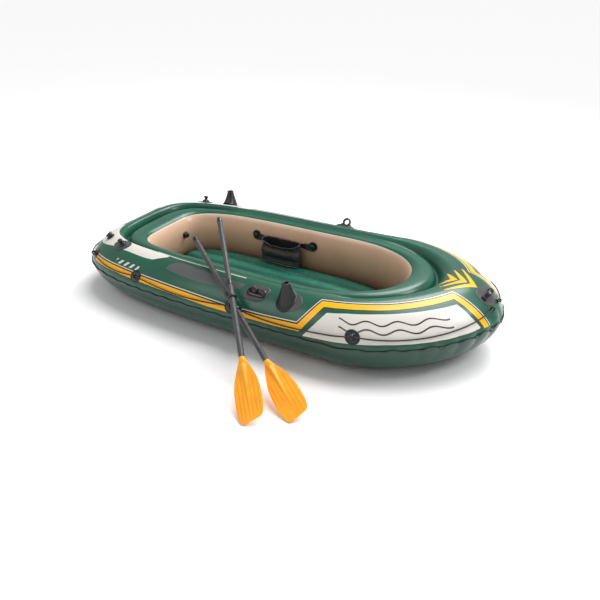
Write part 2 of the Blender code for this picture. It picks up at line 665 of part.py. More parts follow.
def rest_angle(foot, heading, stops):
    """The steepest lean that keeps a shaft clear of every point in stops, by halving."""
    low, high = 5.0, 60.0
    for _ in range(40):
        middle = math.radians((low + high) / 2)
        way = np.array([math.cos(heading) * math.cos(middle), math.sin(heading) * math.cos(middle),
                        math.sin(middle)])
        from_foot = stops - foot
        run = np.clip(from_foot @ way, 0, OAR_LENGTH)
        near = np.linalg.norm(from_foot - run[:, None] * way, axis=1).min()
        clear = near > OAR_SHAFT_R + OAR_CLEAR
        low, high = (low, math.degrees(middle)) if clear else (math.degrees(middle), high)
    return math.radians(high)


def oar(name, foot, heading, lean, collar_at):
    """One take-down oar along its own X axis, from the blade's tip up to the grip's end."""
    way = Vector((math.cos(heading) * math.cos(lean), math.sin(heading) * math.cos(lean), math.sin(lean)))
    flat = Vector((way.y, -way.x, 0)).normalized()
    raised = way.cross(flat)
    raised = raised if raised.z > 0 else -raised
    roll = math.radians(BLADE_ROLL)
    across = flat * math.cos(roll) + raised * math.sin(roll)
    face = way.cross(across)
    place = Matrix([[way[k], across[k], face[k], foot[k]] for k in range(3)] + [[0, 0, 0, 1]])
    turn = Matrix.Rotation(math.pi / 2, 4, "Y")

    def along(piece, start, profile, slot, sides=14, closed=False):
        add(f"{name}_{piece}", *turned(profile, sides, closed), slot,
            place @ Matrix.Translation((start, 0, 0)) @ turn)

    neck = BLADE_LENGTH - BLADE_SOCKET
    joint = OAR_JOINT
    r = OAR_SHAFT_R
    tip, widest = 0.5 * BLADE_WIDTH * BLADE_TIP, 0.5 * BLADE_WIDTH
    shape = [(0.0, tip), (0.1, widest * 0.93), (0.27, widest), (0.48, widest), (0.68, widest * 0.83),
             (0.89, widest * 0.48), (1.0, r * 1.12), (BLADE_LENGTH / neck, r * 1.12)]
    rows = []
    for share, half in shape:
        x = share * neck
        thick = BLADE_THICK / 2 if share < 0.8 else r * 1.12 * min(1, 0.2 + 4 * (share - 0.8))
        spread = min(1, max(0, (share - 0.89) / 0.09))
        loop = []
        for k in range(12):
            a = 2 * math.pi * k / 12
            c, s = math.cos(a), math.sin(a)
            flat_s = (abs(s) ** 0.35) * (1 if s > 0 else -1) if abs(s) > 1e-9 else 0
            loop.append((x, half * c, thick * (s * spread + flat_s * (1 - spread))))
        rows.append(loop)
    points = [p for loop in rows for p in loop]
    faces = wrap(len(rows), 12, rows_close=False)
    faces += [tuple(range(12)), tuple(range(len(points) - 12, len(points)))]
    add(f"{name}_blade", points, faces, "blade_yellow", place)
    along("lower_shaft", BLADE_LENGTH + GAP * 2, [(0, 0), (r, 0), (r, joint - BLADE_LENGTH - GAP * 2),
          (0, joint - BLADE_LENGTH - GAP * 2)], "shaft_grey")
    upper = OAR_LENGTH - GRIP_LENGTH - joint
    along("upper_shaft", joint + GAP, [(0, 0), (r * 0.94, 0), (r * 0.94, upper), (0, upper)], "shaft_grey")
    cap = [(0, 0), (r, 0), (r, 0.022), (r * 0.8, 0.028), (0, 0.028)]
    along("grip_cap", OAR_LENGTH - GRIP_LENGTH + GAP * 2, cap, "black_vinyl")
    ring_wall = [(r + GAP * 2, 0), (COLLAR_R * 0.8, 0), (COLLAR_R, 0.004), (COLLAR_R, 0.008),
                 (COLLAR_R * 0.8, 0.012), (r + GAP * 2, 0.012)]
    along("collar", collar_at, ring_wall, "black_vinyl", closed=True)
    return np.array(foot), np.array(way)


def oars():
    """Two oars that lean over the starboard tube. The front one lies across the rear one."""
    t = np.linspace(0.5 * ROUND, ROUND, 240)
    a = np.linspace(math.pi, 0, 40)
    grid_t, grid_a = np.meshgrid(t, a, indexing="ij")
    stops = np.concatenate([ring(grid_t, grid_a, which).reshape(-1, 3) for which in ("outer", "inner")])
    start, way = rays(t)
    edge = start + way * (reach(TUBE_PLAN, start, way) + FLANGE_OUT)[:, None]
    stops = np.concatenate([stops, np.c_[edge, SEAM_HEIGHT * rise(edge[:, 0])]])
    for name, (x, out, heading, collar) in OAR_PLACE.items():
        heading = math.radians(heading)
        drop = 0.5 * BLADE_WIDTH * BLADE_TIP * math.sin(math.radians(BLADE_ROLL)) + 0.001
        foot = np.array([x, -HULL_WIDTH / 2 - out, drop])
        lean = rest_angle(foot, heading, stops)
        foot, way3 = oar(f"oar_{name}", foot, heading, lean, collar)
        run = np.linspace(0, OAR_LENGTH, 400)
        shaft = foot + run[:, None] * way3
        side = np.cross(way3, [0, 0, 1])
        side = side / np.linalg.norm(side)
        top = np.cross(side, way3)
        around = np.linspace(0, 2 * math.pi, 16, endpoint=False)
        grow = COLLAR_R - 0.0005
        shell = [shaft + grow * (math.cos(k) * side + math.sin(k) * top) for k in around]
        stops = np.concatenate([stops, *shell])


for thing in list(bpy.data.objects):
    bpy.data.objects.remove(thing)
hull()
floor()
valves()
oarlocks()
rod_holders()
motor_mounts()
for eye_name, eye_t in eye_places():
    eye(eye_name, eye_t, EYE_UP)
rope()
bow_gear()
gear_bag()
oars()
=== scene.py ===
import json
import math

import bmesh
import bpy
import numpy as np
from mathutils import Matrix, Vector


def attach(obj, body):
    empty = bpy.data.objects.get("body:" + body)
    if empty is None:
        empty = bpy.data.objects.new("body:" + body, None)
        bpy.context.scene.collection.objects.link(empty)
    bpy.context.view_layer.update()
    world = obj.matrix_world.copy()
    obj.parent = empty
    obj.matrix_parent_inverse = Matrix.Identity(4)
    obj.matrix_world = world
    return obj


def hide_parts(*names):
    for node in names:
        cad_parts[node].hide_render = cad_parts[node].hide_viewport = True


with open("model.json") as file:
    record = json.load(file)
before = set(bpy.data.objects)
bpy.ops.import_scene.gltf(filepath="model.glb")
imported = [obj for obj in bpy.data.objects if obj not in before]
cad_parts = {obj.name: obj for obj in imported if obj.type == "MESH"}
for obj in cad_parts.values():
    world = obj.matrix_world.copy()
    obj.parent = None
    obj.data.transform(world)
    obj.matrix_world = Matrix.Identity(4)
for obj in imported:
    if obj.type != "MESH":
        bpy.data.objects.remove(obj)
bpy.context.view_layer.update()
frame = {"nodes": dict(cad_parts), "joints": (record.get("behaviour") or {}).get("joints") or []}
print("frame loaded:", len(frame["nodes"]), "nodes")

# the hull's surface, in metres: x to the bow, y to port, z up
hull = dict(length=2.345, width=1.125, height=0.329, bowRise=0.072, sternDrop=0.015, sideTube=0.2375,
            bowTube=0.49, sternTube=0.3325, bowRound=0.627, cockpitRound=0.53, shoulder=0.158,
            bulge=0.028, seam=0.173, underside=0.0024, innerDrop=0.014, fan=0.45,
            grooveSide=0.015, grooveEnds=0.066, outerPower=1.6, webPower=3.4, innerPower=2.6)
halfLength, halfWidth = hull["length"] / 2, hull["width"] / 2
# bow end, stern end, half width, where the bow starts, bow power, stern power, taper
tubePlan = (halfLength, -halfLength, halfWidth, halfLength - hull["bowRound"], 1.74, 4.1, -0.03)
cockpitBow = halfLength - hull["bowTube"]
cockpitStern = -halfLength + hull["sternTube"]
cockpitPlan = (cockpitBow, cockpitStern, halfWidth - hull["sideTube"],
               cockpitBow - hull["cockpitRound"], 2.31, 5.1, 0.053)
spineBow, spineStern = cockpitBow - 0.33, cockpitStern + 0.33
quarter = hull["fan"] * math.pi / 2
sideRun = spineBow - spineStern
roundHull = 4 * quarter + 2 * sideRun


def raysAt(t):
    # start and direction in plan of the ray at length t round the hull: a fan at either end
    # and parallel rays between, from the bow over port and back
    t = np.mod(np.asarray(t, float), roundHull)
    port = t <= roundHull / 2
    h = np.where(port, t, roundHull - t)
    angle = np.where(h < quarter, h / hull["fan"],
                     np.where(h < quarter + sideRun, math.pi / 2, (h - sideRun) / hull["fan"]))
    x = np.clip(spineBow - (h - quarter), spineStern, spineBow)
    return (np.stack([x, 0 * x], -1),
            np.stack([np.cos(angle), np.where(port, 1.0, -1.0) * np.sin(angle)], -1))


def planValue(plan, x, y):
    # two half superellipses, |x|^p + |y|^p, that meet where the bow starts; above 1 is outside
    bow, stern, half, start, bowPower, sternPower, taper = plan
    fore = np.clip((x - start) / (bow - start), 0, None)
    aft = np.clip((start - x) / (start - stern), 0, None)
    width = half * (1 - taper * np.minimum(aft, 1.5) ** 1.5)
    return np.where(x > start, fore ** bowPower + (np.abs(y) / half) ** bowPower,
                    aft ** sternPower + (np.abs(y) / width) ** sternPower)


def reachOf(plan, start, way):
    # distance along each ray to the outline, by halving
    low = np.zeros(start.shape[:-1])
    high = np.full(start.shape[:-1], hull["length"])
    for _ in range(40):
        middle = (low + high) / 2
        p = start + way * middle[..., None]
        out = planValue(plan, p[..., 0], p[..., 1]) > 1
        high, low = np.where(out, middle, high), np.where(out, low, middle)
    return (low + high) / 2


def riseAt(x):
    # the tube swells to the bow with the square of x
    swell = np.where(x > 0, hull["bowRise"], -hull["sternDrop"]) / hull["height"]
    return 1 + swell * (x / halfLength) ** 2


def evenly(offset, z, count):
    # each row's curve again, as count points the same length apart
    run = np.cumsum(np.hypot(np.diff(offset), np.diff(z)), axis=1)
    run = np.concatenate([np.zeros((len(run), 1)), run], 1)
    result = np.empty((2, len(run), count))
    for i, along in enumerate(run):
        places = np.linspace(0, along[-1], count)
        result[0, i] = np.interp(places, along, offset[i])
        result[1, i] = np.interp(places, along, z[i])
    return result


def tubeRows(t, counts):
    # the tube's section, one row for each t: under the outer lobe to the seam, up to its crest, over
    # the groove to the inner lobe's crest, to the wall's top edge, down the wall and back underneath.
    # A lobe is four quarters of superellipses; the groove is the higher of the two lobes and a floor
    start, way = raysAt(t)
    out = reachOf(tubePlan, start, way)
    width = out - reachOf(cockpitPlan, start, way)
    bow, stern = np.clip(way[..., 0], 0, 1) ** 2, np.clip(-way[..., 0], 0, 1) ** 2
    crest = hull["shoulder"] + 0.06 * bow + 0.01 * stern
    groove = width * (0.77 - 0.07 * bow - 0.18 * stern)
    innerCrest = groove + (width - groove) * 0.55
    crest, groove, innerCrest, width = (v[:, None] for v in (crest, groove, innerCrest, width))
    seam, top, low = hull["seam"], hull["height"], hull["underside"]
    innerTop, innerLow = top - hull["innerDrop"], low + hull["innerDrop"] / 2
    a = np.linspace(0, math.pi / 2, 90)[None, :]
    outside = crest * (1 - np.cos(a) ** (2 / hull["outerPower"]))
    lift = np.sin(a) ** (2 / hull["outerPower"])
    inward = innerCrest + (width + hull["bulge"] - innerCrest) * np.cos(a) ** (2 / hull["innerPower"])
    innerLift = np.sin(a) ** (2 / hull["innerPower"])
    share = np.linspace(0, 1, 120)[None, :]
    o = crest + (innerCrest - crest) * share
    web = hull["webPower"]
    outer = np.clip(1 - np.clip((o - crest) / (groove - crest), 0, 1) ** web, 0, 1) ** (1 / web)
    inner = np.clip(1 - np.clip((innerCrest - o) / (innerCrest - groove), 0, 1) ** web, 0, 1) ** (1 / web)
    depth = hull["grooveSide"] + (hull["grooveEnds"] - hull["grooveSide"]) * np.maximum(bow, stern)[:, None]
    heights = np.stack([seam + (top - seam) * outer, seam + (innerTop - seam) * inner, top - depth + 0 * o])
    soft = 0.0035
    over = soft * np.log(np.exp((heights - top) / soft).sum(0)) + top
    ends = np.minimum(share, 1 - share) * 12
    over = np.where(ends < 1, np.maximum(heights[0], heights[1]) * (1 - ends) + over * ends, over)
    edge = np.arccos(((width - innerCrest) / (width + hull["bulge"] - innerCrest))
                     ** (hull["innerPower"] / 2))
    inwardTop = innerCrest + (width + hull["bulge"] - innerCrest) * np.cos(
        math.pi / 2 + (edge - math.pi / 2) * share) ** (2 / hull["innerPower"])
    liftTop = np.sin(math.pi / 2 + (edge - math.pi / 2) * share) ** (2 / hull["innerPower"])
    inwardWall = innerCrest + (width + hull["bulge"] - innerCrest) * np.cos(
        edge * (1 - share)) ** (2 / hull["innerPower"])
    liftWall = np.sin(edge * (1 - share)) ** (2 / hull["innerPower"])
    parts = [(outside[:, ::-1], seam - (seam - low) * lift[:, ::-1]),
             (outside, seam + (top - seam) * lift), (o, over),
             (inwardTop, seam + (innerTop - seam) * liftTop),
             (inwardWall, seam + (innerTop - seam) * liftWall),
             (inward, seam - (seam - innerLow) * innerLift),
             (innerCrest + (crest - innerCrest) * share, innerLow + (low - innerLow) * share)]
    rows = [evenly(off + 0 * share[:, :1] * crest, z + 0 * crest, n)[:, :, :-1]
            for (off, z), n in zip(parts, counts)]
    offset, z = np.concatenate(rows, 2)
    p = start[:, None] + way[:, None] * (out[:, None] - offset)[..., None]
    return np.concatenate([p, (z * riseAt(p[..., 0]))[..., None]], -1), np.cumsum([n - 1 for n in counts])


def upFromSeam(points, seamColumn):
    # length over the skin of every column from the seam's one
    step = np.linalg.norm(np.diff(points, axis=1), axis=2)
    up = np.concatenate([np.zeros((len(step), 1)), np.cumsum(step, 1)], 1)
    return up - up[:, seamColumn:seamColumn + 1]


tableT = np.linspace(0, roundHull, 1200)
tableS = np.arange(-0.12, 0.42, 0.002)
tableRows, tableEnds = tubeRows(tableT, (40, 90, 70, 20, 30, 20, 4))
tableUp = upFromSeam(tableRows, tableEnds[0])
skinTable = np.stack([[np.interp(tableS, up, row[:, k]) for k in range(3)]
                      for up, row in zip(tableUp, tableRows)]).transpose(0, 2, 1)


def onSkin(t, s):
    # the table of the outer skin read between its points: t round the hull, s up from the seam
    t, s = np.broadcast_arrays(np.asarray(t, float), np.asarray(s, float))
    i = np.mod(t, roundHull) / roundHull * (len(tableT) - 1)
    j = np.clip((s - tableS[0]) / (tableS[1] - tableS[0]), 0, len(tableS) - 1.001)
    i = np.clip(i, 0, len(tableT) - 1.001)
    a, b = i.astype(int), j.astype(int)
    u, v = (i - a)[..., None], (j - b)[..., None]
    return ((skinTable[a, b] * (1 - u) + skinTable[a + 1, b] * u) * (1 - v)
            + (skinTable[a, b + 1] * (1 - u) + skinTable[a + 1, b + 1] * u) * v)


def skinNormal(t, s, step=0.004):
    # across the differences of the skin along t and along s
    n = np.cross(onSkin(t + step, s) - onSkin(t - step, s), onSkin(t, s + step) - onSkin(t, s - step))
    return n / np.linalg.norm(n, axis=-1, keepdims=True)


def stationAt(x, side, s):
    # where the skin at height s reaches x, by halving
    low, high = 0.0, roundHull / 2
    for _ in range(26):
        middle = (low + high) / 2
        low, high = (middle, high) if onSkin(middle, s)[0] > x else (low, middle)
    return middle if side == "port" else roundHull - middle


def seatOn(t, s, lift=0.0):
    # a place on the skin: x round the hull to the bow, y across and z out along the normal
    n = skinNormal(t, s)
    along = onSkin(t - 0.003, s) - onSkin(t + 0.003, s)
    along = along if t < roundHull / 2 else -along
    along = along / np.linalg.norm(along)
    across = np.cross(n, along)
    return np.vstack([np.column_stack([along, across, n, onSkin(t, s) + n * lift]), [0, 0, 0, 1]])


def gridFaces(rows, columns, closeRows=False, closeColumns=False):
    # quads over a grid of points, row by row
    i = np.arange(rows if closeRows else rows - 1)[:, None]
    j = np.arange(columns if closeColumns else columns - 1)[None, :]
    k, m = (i + 1) % rows, (j + 1) % columns
    quads = [i * columns + j, k * columns + j, k * columns + m, i * columns + m]
    return np.stack(np.broadcast_arrays(*quads), -1).reshape(-1, 4)


def fullTurn(count):
    return np.linspace(0, 2 * math.pi, count, endpoint=False)


def signedPower(values, power):
    return np.sign(values) * np.abs(values) ** power


def moved(part, matrix):
    points, faces = part
    return points @ matrix[:3, :3].T + matrix[:3, 3], faces


def stretched(part, scale, shift=(0, 0, 0)):
    # scaled about the origin, then shifted
    points, faces = part
    return points * scale + shift, faces


def capped(rows, first, last):
    # rows of a closed section, drawn to a point at either end
    rows = np.concatenate([first + 0 * rows[:1], rows, last + 0 * rows[:1]])
    return rows.reshape(-1, 3), gridFaces(len(rows), rows.shape[1], False, True)


def joinParts(*parts):
    # several (points, faces) as one
    shifts = np.cumsum([0] + [len(points) for points, _ in parts])
    return (np.concatenate([points for points, _ in parts]),
            np.concatenate([faces + shift for (_, faces), shift in zip(parts, shifts)]))


def makePiece(name, part, material, replaces="", body="hull", uv=None, floats=None, matrix=None, sharp=38):
    # a mesh from whole arrays; uv and floats are one value for each point, and replaces is the names of
    # the CAD's nodes with spaces between
    points, faces = part if matrix is None else moved(part, matrix)
    mesh = bpy.data.meshes.new(name)
    mesh.from_pydata(points.reshape(-1, 3).tolist(), [], faces.tolist())
    if uv is not None:
        corners = np.empty(len(mesh.loops), np.int32)
        mesh.loops.foreach_get("vertex_index", corners)
        mesh.uv_layers.new(name="printMap").data.foreach_set("uv", uv.reshape(-1, 2)[corners].ravel())
    for key, values in (floats or {}).items():
        mesh.attributes.new(key, "FLOAT", "POINT").data.foreach_set("value", np.ravel(values))
    shape = bmesh.new()
    shape.from_mesh(mesh)
    bmesh.ops.remove_doubles(shape, verts=shape.verts, dist=1e-6)
    bmesh.ops.recalc_face_normals(shape, faces=shape.faces)
    shape.to_mesh(mesh)
    shape.free()
    mesh.shade_smooth()
    if sharp:
        mesh.set_sharp_from_angle(angle=math.radians(sharp))
    mesh.materials.append(material)
    piece = bpy.data.objects.new(name, mesh)
    bpy.context.scene.collection.objects.link(piece)
    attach(piece, body)
    if replaces:
        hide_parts(*replaces.split())
    return piece


def filleted(profile, radius=0.0012, steps=4):
    # every inner corner of a profile rounded by a quadratic curve between points radius away
    profile = np.asarray(profile, float)
    result = [profile[0]]
    for before, corner, after in zip(profile, profile[1:], profile[2:]):
        a, b = (corner + way * min(0.45, radius / max(np.linalg.norm(way), 1e-9))
                for way in (before - corner, after - corner))
        for u in np.linspace(0, 1, steps + 1):
            result.append(a * (1 - u) ** 2 + corner * 2 * u * (1 - u) + b * u ** 2)
    return np.array(result + [profile[-1]])


def turnedPart(profile, sides=40, closed=False, power=2.0, radius=0.0012):
    # a profile of (radius, height) carried round the z axis
    profile = np.asarray(profile, float) if closed else filleted(profile, radius)
    c, s = (signedPower(wave(fullTurn(sides)), 2 / power) for wave in (np.cos, np.sin))
    points = np.stack([profile[:, :1] * c, profile[:, :1] * s, profile[:, 1:] + 0 * c], -1)
    return points.reshape(-1, 3), gridFaces(len(profile), sides, closed, True)


def tubePart(path, radius, closed=False, sides=12):
    # a circle carried along a path
    way = np.roll(path, -1, 0) - np.roll(path, 1, 0) if closed else np.gradient(path, axis=0)
    way /= np.linalg.norm(way, axis=1, keepdims=True)
    side = np.cross(way, (0, 0, 1))
    side /= np.maximum(np.linalg.norm(side, axis=1, keepdims=True), 1e-9)
    up = np.cross(side, way)
    angle = fullTurn(sides)[None, :, None]
    points = path[:, None] + side[:, None] * radius * np.cos(angle) + up[:, None] * radius * np.sin(angle)
    if closed:
        return points.reshape(-1, 3), gridFaces(len(path), sides, True, True)
    return capped(points, path[:1], path[-1:])


def archTube(path, thick, wide, side):
    # a superellipse section carried along a path that lies in the plane square to side
    way = np.gradient(path, axis=0)
    way /= np.linalg.norm(way, axis=1, keepdims=True)
    out = np.cross(way, side)
    c, s = (signedPower(wave(fullTurn(20)), 0.7)[None, :, None] for wave in (np.cos, np.sin))
    return capped(path[:, None] + out[:, None] * thick * c + side * wide * s, path[:1], path[-1:])


def platePart(outline, centre, hole, thick, soft, sides=120):
    # a plate with a round hole: every ray from the hole's centre runs to the outline, and a section
    # with soft corners is carried round
    outline = np.asarray(outline, float) - centre
    angle = fullTurn(sides)
    way = np.stack([np.cos(angle), np.sin(angle)], -1)[:, None]
    p = outline[None]
    span = np.roll(outline, -1, 0)[None] - p
    det = way[..., 1] * span[..., 0] - way[..., 0] * span[..., 1]
    det = np.where(np.abs(det) < 1e-12, 1e-12, det)
    out = (p[..., 1] * span[..., 0] - p[..., 0] * span[..., 1]) / det
    share = (way[..., 0] * p[..., 1] - way[..., 1] * p[..., 0]) / det
    edge = np.where((out > 0) & (share >= -1e-9) & (share <= 1 + 1e-9), out, 9).min(1)
    arc = np.linspace(0, math.pi / 2, 5)
    rows = []
    for base, inward, level in ((hole + 0 * edge, 1, -1), (edge, -1, -1), (edge, -1, 1),
                                (hole + 0 * edge, 1, 1)):
        for a in arc if inward != level else arc[::-1]:
            reach = base + inward * soft * (1 - math.cos(a))
            z = level * (thick / 2 - soft * (1 - math.sin(a)))
            rows.append(np.stack([centre[0] + way[:, 0, 0] * reach, centre[1] + way[:, 0, 1] * reach,
                                  z + 0 * reach], -1))
    return np.concatenate(rows), gridFaces(len(rows), sides, True, True)


def patchPart(t, s, halfAlong, halfUp, profile, power=2.0, skew=0.0, sides=72):
    # a moulded patch that follows the skin: profile is (share of the outline, height over the skin)
    profile = filleted(profile, 0.02, 3)
    c, q = (signedPower(wave(fullTurn(sides)), 2 / power) for wave in (np.cos, np.sin))
    scale = np.linalg.norm(onSkin(t + 0.01, s) - onSkin(t - 0.01, s)) / 0.02
    towards = 1 if t >= roundHull / 2 else -1
    up = profile[:, :1] * halfUp * q
    t = t + towards * (profile[:, :1] * halfAlong * c + skew * up) / scale
    points = onSkin(t, s + up) + skinNormal(t, s + up) * profile[:, 1:, None]
    return points.reshape(-1, 3), gridFaces(len(profile), sides, False, True)


def linear(code):
    # an sRGB hex value as linear red, green, blue and 1
    channels = [int(code[k:k + 2], 16) / 255 for k in (1, 3, 5)]
    return [c / 12.92 if c <= 0.04045 else ((c + 0.055) / 1.055) ** 2.4 for c in channels] + [1.0]


def node(tree, kind, settings=None, inputs=None):
    # adds a node, sets its settings and sets or links its sockets
    made = tree.nodes.new("ShaderNode" + kind)
    for key, value in (settings or {}).items():
        setattr(made, key, value)
    for key, value in (inputs or {}).items():
        if isinstance(value, bpy.types.NodeSocket):
            tree.links.new(value, made.inputs[key])
        else:
            made.inputs[key].default_value = value
    return made


def startMaterial(name, **sockets):
    material = bpy.data.materials.new(name)
    material.use_nodes = True
    tree = material.node_tree
    shader = tree.nodes["Principled BSDF"]
    for key, value in sockets.items():
        shader.inputs[key.replace("_", " ")].default_value = value
    return material, tree, shader


def blend(tree, share, under, over):
    return node(tree, "Mix", {"data_type": "RGBA"}, {0: share, 6: under, 7: over}).outputs[2]


def paintColourOver(tree, under, inside, code):
    # a colour over what is below wherever inside is 1: printed ink, and in places painted shade
    return blend(tree, inside, under, linear(code))


def grainAndWear(tree, shader, grainMm, grainDepth, waveMm, waveDepth, rough, spread):
    # fine embossed grain over slow unevenness, and patches that are a little more or less glossy
    place = node(tree, "TexCoord").outputs["Object"]
    fine = node(tree, "TexNoise", None, {"Vector": place, "Scale": 1000 / grainMm, "Detail": 2.0,
                                         "Roughness": 0.55})
    slow = node(tree, "TexNoise", None, {"Vector": place, "Scale": 1000 / waveMm, "Detail": 3.0})
    first = node(tree, "Bump", None, {"Strength": 1.0, "Distance": waveDepth, "Height": slow.outputs[0]})
    second = node(tree, "Bump", None, {"Strength": 1.0, "Distance": grainDepth, "Height": fine.outputs[0],
                                       "Normal": first.outputs[0]})
    tree.links.new(second.outputs[0], shader.inputs["Normal"])
    gloss = node(tree, "MapRange", None, {"Value": slow.outputs[0], "From Min": 0.3, "From Max": 0.7,
                                          "To Min": rough - spread, "To Max": rough + spread})
    tree.links.new(gloss.outputs[0], shader.inputs["Roughness"])
    return place


def weathered(tree, place, code, darkCode, scaleMm):
    # the colour drifting slowly towards a darker one
    drift = node(tree, "TexNoise", None, {"Vector": place, "Scale": 1000 / scaleMm, "Detail": 4.0})
    share = node(tree, "MapRange", None, {"Value": drift.outputs[0], "From Min": 0.35, "From Max": 0.75})
    return blend(tree, share.outputs[0], linear(code), linear(darkCode))


# lower and lowerDark are the tube's green painted darker, as shade below the seam
vinylLook = dict(green="#165843", greenDark="#124c39", lower="#0d4232", lowerDark="#0a382a",
                 # the tan's third colour is painted shade for the wall's foot
                 tan="#dcb89c", tanDark="#cfa98e", tanPaintedShade="#6f5644", cream="#dad5ce",
                 yellow="#ffb400", ink="#0c2a20", grey="#535556", waveGrey="#3c3936",
                 bandHalf=0.0155, inkHalf=0.0185,
                 whiteFrom=0.0225, whiteTo=0.0275, edgeHalf=0.0019)


def hullVinyl():
    # calendered PVC, 0.75 mm: satin, faintly grained, printed before it was welded; the inks lie flush.
    # band, panel, wing, patch, mark and line are signed distances in metres carried by the mesh
    look = vinylLook
    material, tree, shader = startMaterial("hullPrintedVinyl", IOR=1.46, Coat_Weight=0.2,
                                           Coat_Roughness=0.16)
    place = grainAndWear(tree, shader, 3.2, 0.00005, 90, 0.0009, 0.32, 0.04)
    read = {key: node(tree, "Attribute", {"attribute_name": key}).outputs["Fac"]
            for key in ("band", "panel", "wing", "patch", "mark", "line", "edge", "seam")}
    where = node(tree, "UVMap", {"uv_map": "printMap"}).outputs[0]
    split = node(tree, "SeparateXYZ", None, {0: where})
    h, s = split.outputs[0], split.outputs[1]

    def calc(operation, *values):
        return node(tree, "Math", {"operation": operation}, dict(enumerate(values))).outputs[0]

    def between(value, low, high):
        return calc("MULTIPLY", calc("GREATER_THAN", value, low), calc("LESS_THAN", value, high))

    colour = weathered(tree, place, look["green"], look["greenDark"], 260)
    # below the seam the tube's green is painted darker, as shade on its underside
    lower = weathered(tree, place, look["lower"], look["lowerDark"], 260)
    tan = weathered(tree, place, look["tan"], look["tanDark"], 200)
    # the tan wall turns darker brown from 7 to 24 cm down from its top edge: painted shade
    paintedWallShade = node(tree, "MapRange", None, {"Value": read["edge"], "From Min": 0.07, "From Max": 0.24,
                                           "To Max": 0.85}).outputs[0]
    tan = paintColourOver(tree, tan, paintedWallShade, look["tanPaintedShade"])
    for key, ink in (("patch", "grey"), ("panel", "cream"), ("wing", "cream")):
        colour = paintColourOver(tree, colour, calc("LESS_THAN", read[key], 0.0), look[ink])
    for middle in (0.088, 0.128):  # two waves along the cream panel
        crestLine = calc("MULTIPLY_ADD", calc("SINE", calc("MULTIPLY", h, 62.0)), 0.011, middle)
        stroke = calc("LESS_THAN", calc("ABSOLUTE", calc("SUBTRACT", s, crestLine)), 0.004)
        stroke = calc("MULTIPLY", stroke, between(h, 0.17, 0.53))
        colour = paintColourOver(tree, colour, stroke, look["waveGrey"])
    bar = calc("FRACT", calc("MULTIPLY", calc("MULTIPLY_ADD", s, 0.55, h), 27.0))  # five slanted bars
    bar = calc("MULTIPLY", calc("LESS_THAN", bar, 0.42), between(h, 1.685, 1.835))
    colour = paintColourOver(tree, colour, calc("MULTIPLY", bar, between(s, 0.09, 0.116)), look["cream"])
    stroke = calc("LESS_THAN", calc("ABSOLUTE", read["line"]), 0.0026)
    colour = paintColourOver(tree, colour, calc("MULTIPLY", stroke, between(h, 1.06, 1.66)), look["cream"])
    upper = calc("GREATER_THAN", s, 0.026)
    for low, high, ink in ((-look["inkHalf"], look["whiteTo"], "ink"),
                           (look["whiteFrom"], look["whiteTo"], "cream"),
                           (-look["bandHalf"], look["bandHalf"], "yellow")):
        stripe = calc("MULTIPLY", between(read["band"], low, high), upper)
        colour = paintColourOver(tree, colour, stripe, look[ink])
    colour = paintColourOver(tree, colour, calc("LESS_THAN", read["mark"], 0.0), look["yellow"])
    colour = blend(tree, calc("LESS_THAN", read["seam"], 0.0), colour, lower)
    colour = blend(tree, calc("GREATER_THAN", read["edge"], 0.0), colour, tan)
    edging = between(read["edge"], -look["edgeHalf"], look["edgeHalf"])
    colour = paintColourOver(tree, colour, edging, look["cream"])
    tree.links.new(colour, shader.inputs["Base Color"])
    return material


def plainVinyl(name, code, darkCode, rough, coat, grainMm=2.6, grainDepth=0.0001, deep=None):
    # PVC or moulded rubber-like vinyl: satin to glossy, fine grain, slightly darker in patches; a darker
    # colour, when given as deep, is painted shade in the bottoms of its folds, where the mesh's groove value
    # is 1
    material, tree, shader = startMaterial(name, IOR=1.52, Coat_Weight=coat, Coat_Roughness=0.18)
    place = grainAndWear(tree, shader, grainMm, grainDepth, 45, 0.0008, rough, 0.06)
    colour = weathered(tree, place, code, darkCode, 60)
    if deep:
        groove = node(tree, "Attribute", {"attribute_name": "groove"}).outputs["Fac"]
        colour = paintColourOver(tree, colour, groove, deep)
    tree.links.new(colour, shader.inputs["Base Color"])
    return material


def shaftPlastic():
    # extruded polypropylene tube: matt, with faint drawing lines along it and scuffs
    material, tree, shader = startMaterial("shaftExtrudedPlastic", IOR=1.49)
    place = grainAndWear(tree, shader, 1.6, 0.00008, 30, 0.0003, 0.46, 0.07)
    tree.links.new(weathered(tree, place, "#474749", "#3a3a3c", 35), shader.inputs["Base Color"])
    return material


def bladePlastic():
    # injection-moulded polypropylene: satin, a little light goes through the thin blade
    material, tree, shader = startMaterial("bladeMouldedPlastic", IOR=1.49, Subsurface_Weight=0.12,
                                           Subsurface_Radius=(0.01, 0.006, 0.002))
    place = grainAndWear(tree, shader, 1.5, 0.00005, 50, 0.0004, 0.4, 0.06)
    tree.links.new(weathered(tree, place, "#ffa800", "#f59a00", 70), shader.inputs["Base Color"])
    return material


